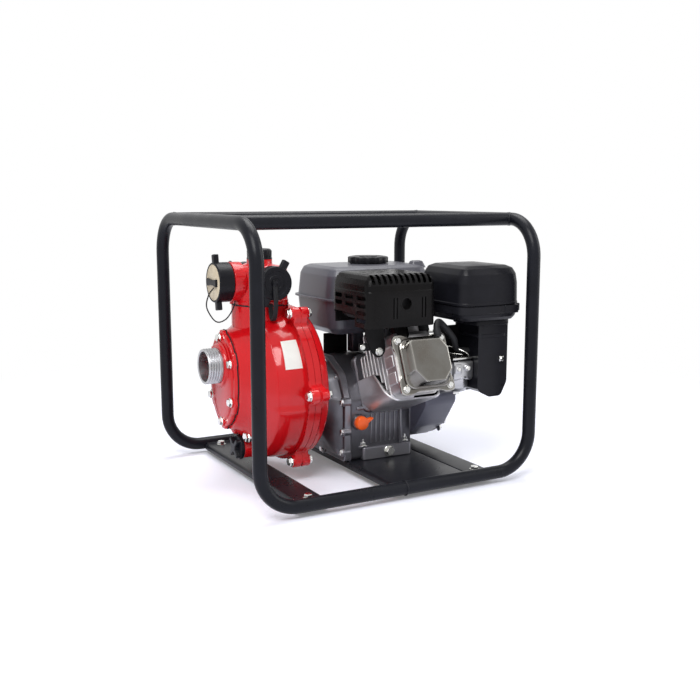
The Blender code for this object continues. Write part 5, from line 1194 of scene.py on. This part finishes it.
class FIREPUMP_OT_guard(bpy.types.Operator):
    """Muffler guard with its slots, bracket and screws"""

    bl_idname = "fire_pump.guard"
    bl_label = "Muffler guard"

    def execute(self, context):
        looks = context.scene.fire_pump
        middle = (25.5, -99.5, 0)
        inner = [(351.5, 17), (350, 10), (343, 4), (333, 1.8), (268.3, 1.8)]
        outer = [(268.3, 0), (325.5, 0), (327, 0.9), (336, 0.9), (345.3, 4), (351, 9), (353.3, 16)]
        shell = boxed(ALONG_Z, middle, 131, 121, 13, inner + outer, 1.2)
        width = mm(looks.slot)
        pitch = mm(looks.slot_pitch)
        cutters = []
        for x in 26 + pitch * (np.arange(11) - 5):
            cutters.append(boxed(ALONG_Y, (x, -165, 352), width, 28, width * 0.48, [(0, 0), (22, 0)]))
        upper = (316, 304)
        for y, long, levels in ((-64, 24, upper), (-100, 27, upper), (-138, 28, (*upper, 292, 280))):
            for z in levels:
                cutters.append(boxed(ALONG_X, (-50, y, z), long, 7, 2.2, [(0, 0), (20, 0)]))
        cutters.append(boxed(ALONG_X, (-50, -80, 268), 78, 44, 8, [(0, 0), (20, 0)]))
        cutters.append(turned(ALONG_Y, (33, 0, 305.5), [(-170, 9.5), (-150, 9.5)], 40))
        for x in (9, 15, 63, 69):
            cutters.append(boxed(ALONG_Y, (x, -170, 299), 2.6, 34, 1.2, [(0, 0), (20, 0)]))
        for x in (-10, 8, 26, 44, 62):
            for y in (-116, -92):
                cutters.append(boxed(ALONG_Z, (x, y, 345), 12, 5, 2.4, [(0, 0), (12, 0)]))
        edge = [(-160.6, 9.6), (-160.6, 11), (-157, 12), (-157, 9.6)]
        lip = turned(ALONG_Y, (33, 0, 305.5), edge, 40, closed=True)
        bracket = self.bracket()
        piece("muffler_guard", [shell], "guard_paint", ["muffler_guard"], cutters=cutters)
        ear = slab((-39, -131.2, 229.5), (-16, -129, 242.5), 0.8)
        piece("guard_bracket", [bracket, ear, lip], "guard_paint")
        screws = bolt(BACK_Y, (-32.5, -131.2, 236), 4.2) + bolt(BACK_Y, (-2, -132, 227), 6.0)
        piece("guard_screws", screws, "zinc")
        return {"FINISHED"}

    def bracket(self):
        """Hanging plate with cut corners, carried through its thickness."""
        points = [(-30, 272), (-24, 246), (-14, 226), (-6, 217), (4, 219), (10, 228), (8, 250), (8, 272)]
        outline = rounded(points, [2, 8, 6, 6, 6, 8, 8, 2], 4)
        edges = [(-132, 0.4), (-131.5, 0), (-129.4, 0), (-129, 0.4)]
        return swept(ALONG_Y, (0, 0, 0), outline[::-1], edges)


class FIREPUMP_OT_air_cleaner(bpy.types.Operator):
    """Air cleaner: lid, base with its clip band, and elbow"""

    bl_idname = "fire_pump.air_cleaner"
    bl_label = "Air cleaner"

    def execute(self, context):
        middle = (180, -126, 0)
        dome = [(298.6, 1.2), (298.9, 0), (302.4, 0), (303, 0.9), (334, 1.6), (349, 4), (358.5, 10)]
        dome += [(363, 20), (364.3, 34)]
        shell = boxed(ALONG_Z, middle, 123, 136, 22, dome, 5.0)
        cutters = []
        for x in (158, 170):
            cutters.append(boxed(ALONG_Z, (x, -96, 357), 8, 4, 1.8, [(0, 0), (12, 0)]))
        piece("air_cleaner_lid", [shell], "plastic", ["air_cleaner_lid"], "lid", cutters=cutters)

        tray = [(272.3, 12), (272.6, 9), (278, 4), (283, 2), (297.4, 2), (298.3, 3)]
        skins = [boxed(ALONG_Z, middle, 121, 136, 21, tray, 1.0)]
        band = [(284.2, 1.6), (284.8, 0.9), (296.4, 0.9), (297, 1.6)]
        skins.append(boxed(ALONG_Z, middle, 121, 136, 21, band))
        skins.append(slab((236, -178, 284.5), (249, -158, 297.5), 1.5))
        skins.append(slab((205, -194.6, 283.8), (233, -190, 297.4), 1.2))
        neck = [(262, 1), (263, 0), (271, 0), (272.5, 1)]
        skins.append(boxed(ALONG_Z, (198, -136, 0), 68, 76, 8, neck))
        skins.append(self.elbow())
        collar = [(241.5, 0.6), (242, 0), (246.5, 0), (247, 0.6)]
        skins.append(boxed(ALONG_Z, (198.1, -138.5, 0), 57, 69, 7, collar))
        mouth = [(170.9, 17), (166, 17), (165.4, 16)]
        skins.append(turned(ALONG_X, (0, -135, 185.3), mouth, 40))
        piece("air_cleaner_base", skins, "plastic", ["air_cleaner_base"])
        clip = [slab((211, -174.6, 199), (219.5, -171, 208.5), 1.0)]
        clip += bolt(BACK_Y, (215.2, -174.4, 203.7), 4.2, False)
        piece("elbow_clip", clip, "zinc")
        return {"FINISHED"}

    def elbow(self):
        """Box with two cut lower corners, carried along Y with soft ends."""
        points = [(170.6, 272), (170.6, 153.3), (192.6, 142.3)]
        points += [(214.6, 142.3), (225.6, 164.3), (225.6, 272)]
        outline = rounded(points, [3, 9, 9, 7, 9, 3], 5)[::-1]
        steps = [(-172, 3), (-171.2, 1), (-169, 0), (-108, 0), (-105.8, 1), (-105, 3)]
        return swept(ALONG_Y, (0, 0, 0), outline, steps)


class FIREPUMP_OT_carburettor(bpy.types.Operator):
    """Carburettor, its rod and bowl, the three levers and the hose"""

    bl_idname = "fire_pump.carburettor"
    bl_label = "Carburettor and controls"

    def execute(self, context):
        axis = (0, -135, 185.3)
        body = [(110.3, 0.8), (111, 0), (116, 0), (116.6, 4), (130, 4)]
        body += [(131.6, 0), (169.4, 0), (170.2, 0.8)]
        skins = [boxed(ALONG_X, axis, 40, 34, 6, body)]
        bowl = [(176, 20.6), (172, 20.6), (171.6, 19.4), (155, 18.8), (148.6, 15)]
        bowl += [(147.4, 8), (146.6, 6)]
        skins.append(turned(ALONG_Z, (150, -135, 0), bowl, 48, 1.2))
        skins.append(turned(ALONG_Y, (157, 0, 190), [(-150, 6.5), (-158, 6.5), (-158.6, 5.8)], 28, 0.4))
        skins.append(turned(ALONG_Z, (150, -135, 0), [(201, 9), (206, 9), (207, 7.5)], 28))
        skins.append(slab((132, -157.5, 181), (146, -152, 197), 1.5))
        piece("carburetor", skins, "bright_alloy", ["carburetor"])
        metal = [tube([(128, -154, 206.5), (150, -154, 206.5), (171, -154, 206.5)], 2.4, 16)]
        metal += bolt(DOWN_Z, (150, -135, 146.8), 6.5)
        metal += bolt(BACK_Y, (157, -158.4, 190), 4.5, False)
        metal += bolts(BACK_Y, [(139, -157.3, 189)], 4.0, False)
        long_rod = [(118, -118, 226), (140, -130, 224), (158, -148, 216), (166, -152, 207)]
        short_rod = [(112, -110, 214), (132, -126, 214), (152, -150, 212)]
        for stops, radius in ((long_rod, 1.2), (short_rod, 1.0)):
            metal.append(tube(smooth_route(stops, 6), radius, 10))
        piece("carburetor_fittings", metal, "zinc")
        link = [slab((124, -150, 203), (168, -122, 208.5), 1.5)]
        link.append(slab((130, -156, 208), (136, -140, 214), 1.0))
        link.append(slab((118, -114, 203), (169, -109, 258), 2.0))
        piece("control_bracket", link, "guard_paint")

        self.lever("throttle_lever", ALONG_Z, (134.1, -2, 229.4), 72, 16, "throttle")
        standing = ALONG_X[[0, 2, 1]]
        self.lever("choke_lever", standing, (225.9, -138.5, 210.3), 36, 12, "choke")
        hanging = np.array((ALONG_Y[0], -ALONG_Y[2], ALONG_Y[1]))
        self.lever("fuel_cock_lever", hanging, (149.6, -114.7, 185.3), 34, 12, "fuel_cock")
        self.hose()
        return {"FINISHED"}

    def lever(self, name, axes, pivot, reach, tip, body):
        """Flat lever: a round pivot end, a waist and a wider tip, with a pin through the pivot."""
        half = tip / 2
        points = [(-6, 6), (-6, -6), (6, -6), (reach * 0.6, -3.6), (reach * 0.7, -half), (reach, -half)]
        points += [(reach, half), (reach * 0.7, half), (reach * 0.6, 3.6), (6, 6)]
        radii = [5.8, 5.8, 6, 6, 4, half * 0.6, half * 0.6, 4, 6, 6]
        outline = rounded(points, radii, 5)
        skins = [swept(axes, pivot, outline, [(0.05, 0.5), (0.5, 0), (2.4, 0), (2.95, 0.5)])]
        skins.append(turned(axes, pivot, [(2.6, 4.4), (4.4, 4.4), (5, 3.6)], 24))
        piece(name, skins, "zinc", [name], body)

    def hose(self):
        """Breather hose: the CAD's stops from the valve cover's upper edge to the elbow."""
        axis, across, up = ALONG_CYLINDER
        start = CYLINDER + axis * 219.3 + across * 30.16 + up * 43.4
        end = np.array((169.7, -138.5, 216.3))
        crest = start + up * 21
        fall = end - crest
        stops = [start - up * 4, start + up * 10.5, crest + across * 5.5]
        stops += [crest + fall * 0.25 + up * 8.4, crest + fall * 0.55]
        stops += [end - across * 22 + up * 5.5, end - across * 8.8, end + across * 1.2]
        path = smooth_route(stops, 8)
        skins = [tube(path, 5.4, 20)]
        for k in (5, -7):
            skins.append(tube(path[k - 3 : k + 3], 6.3, 20))
        piece("breather_hose", skins, "rubber", ["breather_hose"])


class FIREPUMP_OT_starter(bpy.types.Operator):
    """Blower housing, recoil starter with its rope and grip, and engine switch"""

    bl_idname = "fire_pump.starter"
    bl_label = "Blower and starter"

    def execute(self, context):
        arc = circle(104, 72)
        angle = np.radians((-80, -55, -30, -5, 20, 45))
        far = np.stack((np.cos(angle), np.sin(angle)), 1) * 104
        rest = [(35.4, 99.8), (-58.2, 99.8), (-98.3, 71.4), (-106, 8), (-126, 8)]
        rest += [(-126, -10), (-92, -57), (-41.6, -85)]
        radii = [26] * 6 + [20, 24, 24, 6, 6, 14, 26, 26]
        outline = rounded(np.vstack((far, rest)), radii, 6)
        wall = [(110.3, 0), (172.5, 0), (175.5, 0.9), (177.5, 2.8), (178.3, 5.5)]
        skins = [swept(ALONG_X, CRANK, outline, wall)]
        rim = [(110.4, -2.2), (111, -3), (114.6, -3), (115.2, -2.2)]
        skins.append(swept(ALONG_X, CRANK, outline, rim))
        piece("blower_housing", skins, "shroud_paint", ["blower_housing"])
        places = [(178.2, CRANK[1] + y, CRANK[2] + z) for y, z in arc[[9, 27, 45, 63]] * 0.95]
        piece("blower_bolts", bolts(ALONG_X, places, 5.5), "zinc")
        guide = slab((-4, 58, 192), (44, 62, 233), 1.5)
        piece("air_guide", [guide], "guard_paint")
        self.recoil()
        return {"FINISHED"}

    def recoil(self):
        profile = [(178.6, 92), (188.6, 92), (196, 86), (205.6, 73.5), (205.6, 30)]
        profile += [(203.5, 27), (203.5, 8)]
        dish = turned(ALONG_X, CRANK, profile, 96, 3.0)
        cutters = []
        for k in range(12):
            arm = spoke(ALONG_X, k * TURN / 12)
            place = CRANK + ALONG_X[0] * 206
            cutters.append(boxed(arm, place, 8, 8, 2.0, [(38, 0), (68, 0)]))
        piece("recoil_cover", [dish], "guard_paint", ["recoil_cover"], cutters=cutters)
        guide = slab((184, 98, 171.2), (200.2, 123, 187.4), 3.0)
        piece("rope_guide", [guide], "guard_paint")
        angles = np.radians((40, 130, 220, 310))
        ears = []
        for angle in angles:
            place = CRANK + (186, 90 * math.cos(angle), 90 * math.sin(angle))
            ears += bolt(ALONG_X, place + (2.4, 0, 0), 5.5)
        piece("recoil_bolts", ears, "zinc")

        rope = (192.1, 0, 179.3)
        bar = [(123.3, 24), (124.5, 27), (131.5, 24), (136.3, 0), (147.3, 0), (151, 2.5), (153.3, 6)]
        steps = rounded(bar, 3.0, 4, False)
        layers = []
        for at, depth in steps:
            width = 70 - 2 * depth
            height = 20 - 2 * min(depth * 0.16, 4.2)
            layers.append((at, box_outline(width, height, min(width, height) * 0.42, 6)))
        handle = layered(ALONG_Y, rope, layers)
        piece("recoil_grip", [handle], "plastic", ["recoil_grip"], "starter_grip")
        line = np.stack((np.full(40, 192.1), np.linspace(104, 134, 40), np.full(40, 179.3)), 1)
        cord = linked("starter_rope", skin_mesh("starter_rope", [tube(line, 2.2, 12)]))
        cord.data.shade_smooth()
        cord.data.materials.append(finish("rubber"))
        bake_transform(cord)

        place = (178.6, -45.22, 205.12)
        knob = turned(ALONG_X, place, [(0, 8), (5.6, 8), (6, 7.4)], 40, 0.3)
        corners = [(-7.4, -2.4), (10, -2.4), (10, 2.4), (-7.4, 2.4)]
        tab = rounded(turned_by(corners, math.radians(134)), 1.6, 4)
        grip = swept(ALONG_X, place, tab, [(5, 0), (11, 0), (11.9, 0.8)], 0.3)
        piece("engine_switch", [knob, grip], "plastic", ["engine_switch"], "switch")


class FIREPUMP_OT_inner(bpy.types.Operator):
    """Finishes of the inner pieces that keep their CAD shape"""

    bl_idname = "fire_pump.inner"
    bl_label = "Inner pieces"

    def execute(self, context):
        looks_of = {
            "bright_alloy": ("piston", "connecting_rod", "impeller", "crankshaft", "camshaft"),
            "alloy": ("diffuser", "flywheel"),
            "guard_paint": ("muffler",),
            "rubber": ("shaft_seal", "check_valve_flap"),
            "plastic": ("recoil_pulley",),
            "foam": ("air_filter",),
        }
        for look, names in looks_of.items():
            for name in names:
                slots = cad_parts[name].material_slots
                for place in slots:
                    place.material = finish(look)
        return {"FINISHED"}


class FIREPUMP_OT_stage(bpy.types.Operator):
    """Pale floor, white surroundings and soft studio light"""

    bl_idname = "fire_pump.stage"
    bl_label = "Stage"

    def execute(self, context):
        looks = context.scene.fire_pump
        scene = bpy.context.scene
        scene.view_settings.view_transform = "Standard"
        self.floor()
        self.surroundings(scene, looks.light)
        self.lamp("key", (-1.3, -1.5, 2.3), (0.0, 0.0, 0.2), (1.4, 1.4), 70 * looks.light)
        self.lamp("top", (0.4, 0.5, 2.5), (0.0, 0.0, 0.1), (1.6, 1.6), 44 * looks.light)
        self.lamp("side", (1.9, -0.9, 1.0), (0.0, 0.0, 0.25), (0.8, 1.6), 12 * looks.light)
        return {"FINISHED"}

    def floor(self):
        half = 6.0
        corners = [(-half, -half, 0), (half, -half, 0), (half, half, 0), (-half, half, 0)]
        mesh = bpy.data.meshes.new("floor")
        mesh.from_pydata(corners, [], [(0, 1, 2, 3)])
        floor = linked("floor", mesh)
        made = bpy.data.materials.new("stage_floor")
        made.use_nodes = True
        tree = made.node_tree
        shader = tree.nodes["Principled BSDF"]
        shader.inputs["Roughness"].default_value = 0.6
        shader.inputs["Specular IOR Level"].default_value = 0.2
        shader.inputs["Base Color"].default_value = (0.81, 0.82, 0.92, 1.0)
        seen = self.seen(tree)
        shader.inputs["Emission Color"].default_value = (1.0, 1.0, 1.0, 1.0)
        place = node(tree, "ShaderNodeTexCoord").outputs["Object"]
        away = node(tree, "ShaderNodeVectorMath", {0: place}, operation="LENGTH")
        reach = {"Value": away.outputs["Value"], "From Min": 0.55, "From Max": 1.25}
        far = node(tree, "ShaderNodeMapRange", reach, interpolation_type="SMOOTHSTEP").outputs["Result"]
        shown = node(tree, "ShaderNodeMath", {0: seen, 1: far}, operation="MULTIPLY")
        white = node(tree, "ShaderNodeEmission", {"Color": (1.0, 1.0, 1.0, 1.0), "Strength": 1.0})
        ends = {0: shown.outputs[0], 1: shader.outputs[0], 2: white.outputs[0]}
        mix = node(tree, "ShaderNodeMixShader", ends)
        tree.links.new(mix.outputs[0], tree.nodes["Material Output"].inputs["Surface"])
        glow = node(tree, "ShaderNodeMath", {0: seen, 1: 0.16}, operation="MULTIPLY")
        tree.links.new(glow.outputs[0], shader.inputs["Emission Strength"])
        mesh.materials.append(made)

    def seen(self, tree):
        """Rays that show a background: straight from the camera, mirrored or through glass."""
        path = node(tree, "ShaderNodeLightPath").outputs
        first = {0: path["Is Camera Ray"], 1: path["Is Glossy Ray"]}
        shown = node(tree, "ShaderNodeMath", first, operation="MAXIMUM")
        both = {0: shown.outputs[0], 1: path["Is Transmission Ray"]}
        return node(tree, "ShaderNodeMath", both, operation="MAXIMUM").outputs[0]

    def surroundings(self, scene, light):
        world = bpy.data.worlds.new("studio")
        world.use_nodes = True
        tree = world.node_tree
        tree.nodes.clear()
        pale = {"Color": (0.96, 0.97, 1.0, 1.0), "Strength": 0.30 * light}
        lit = node(tree, "ShaderNodeBackground", pale)
        white = node(tree, "ShaderNodeBackground", {"Color": (1.0, 1.0, 1.0, 1.0), "Strength": 1.0})
        ends = {0: self.seen(tree), 1: lit.outputs[0], 2: white.outputs[0]}
        mix = node(tree, "ShaderNodeMixShader", ends)
        node(tree, "ShaderNodeOutputWorld", {"Surface": mix.outputs[0]})
        scene.world = world

    def lamp(self, name, place, target, size, power):
        """Soft area lamp that faces a point."""
        data = bpy.data.lights.new(name, "AREA")
        data.shape = "RECTANGLE"
        data.size, data.size_y = size
        data.energy = power
        lamp = bpy.data.objects.new(name, data)
        away = unit(np.subtract(place, target))
        lamp.location = place
        lamp.rotation_euler = (math.acos(away[2]), 0.0, math.atan2(away[1], away[0]) + math.pi / 2)
        bpy.context.scene.collection.objects.link(lamp)


STEPS = (
    FIREPUMP_OT_camera,
    FIREPUMP_OT_tethers,
    FIREPUMP_OT_frame,
    FIREPUMP_OT_base,
    FIREPUMP_OT_casing,
    FIREPUMP_OT_suction,
    FIREPUMP_OT_manifold,
    FIREPUMP_OT_drain,
    FIREPUMP_OT_crankcase,
    FIREPUMP_OT_cylinder,
    FIREPUMP_OT_tank,
    FIREPUMP_OT_guard,
    FIREPUMP_OT_air_cleaner,
    FIREPUMP_OT_carburettor,
    FIREPUMP_OT_starter,
    FIREPUMP_OT_inner,
    FIREPUMP_OT_stage,
)


class FIREPUMP_PT_panel(bpy.types.Panel):
    """Fire pump's building steps and looks"""

    bl_idname = "FIREPUMP_PT_panel"
    bl_label = "Fire Pump"
    bl_space_type = "VIEW_3D"
    bl_region_type = "UI"
    bl_category = "Fire Pump"

    def draw(self, context):
        for step in STEPS:
            self.layout.operator(step.bl_idname)
        for name in FirePumpLooks.__annotations__:
            self.layout.prop(context.scene.fire_pump, name)


def register():
    for part in (FirePumpLooks, *STEPS, FIREPUMP_PT_panel):
        bpy.utils.register_class(part)
    bpy.types.Scene.fire_pump = bpy.props.PointerProperty(type=FirePumpLooks)


def unregister():
    del bpy.types.Scene.fire_pump
    for part in (FIREPUMP_PT_panel, *reversed(STEPS), FirePumpLooks):
        bpy.utils.unregister_class(part)


def main():
    register()
    for step in STEPS:
        space, name = step.bl_idname.split(".")
        getattr(getattr(bpy.ops, space), name)()


if __name__ == "__main__":
    main()
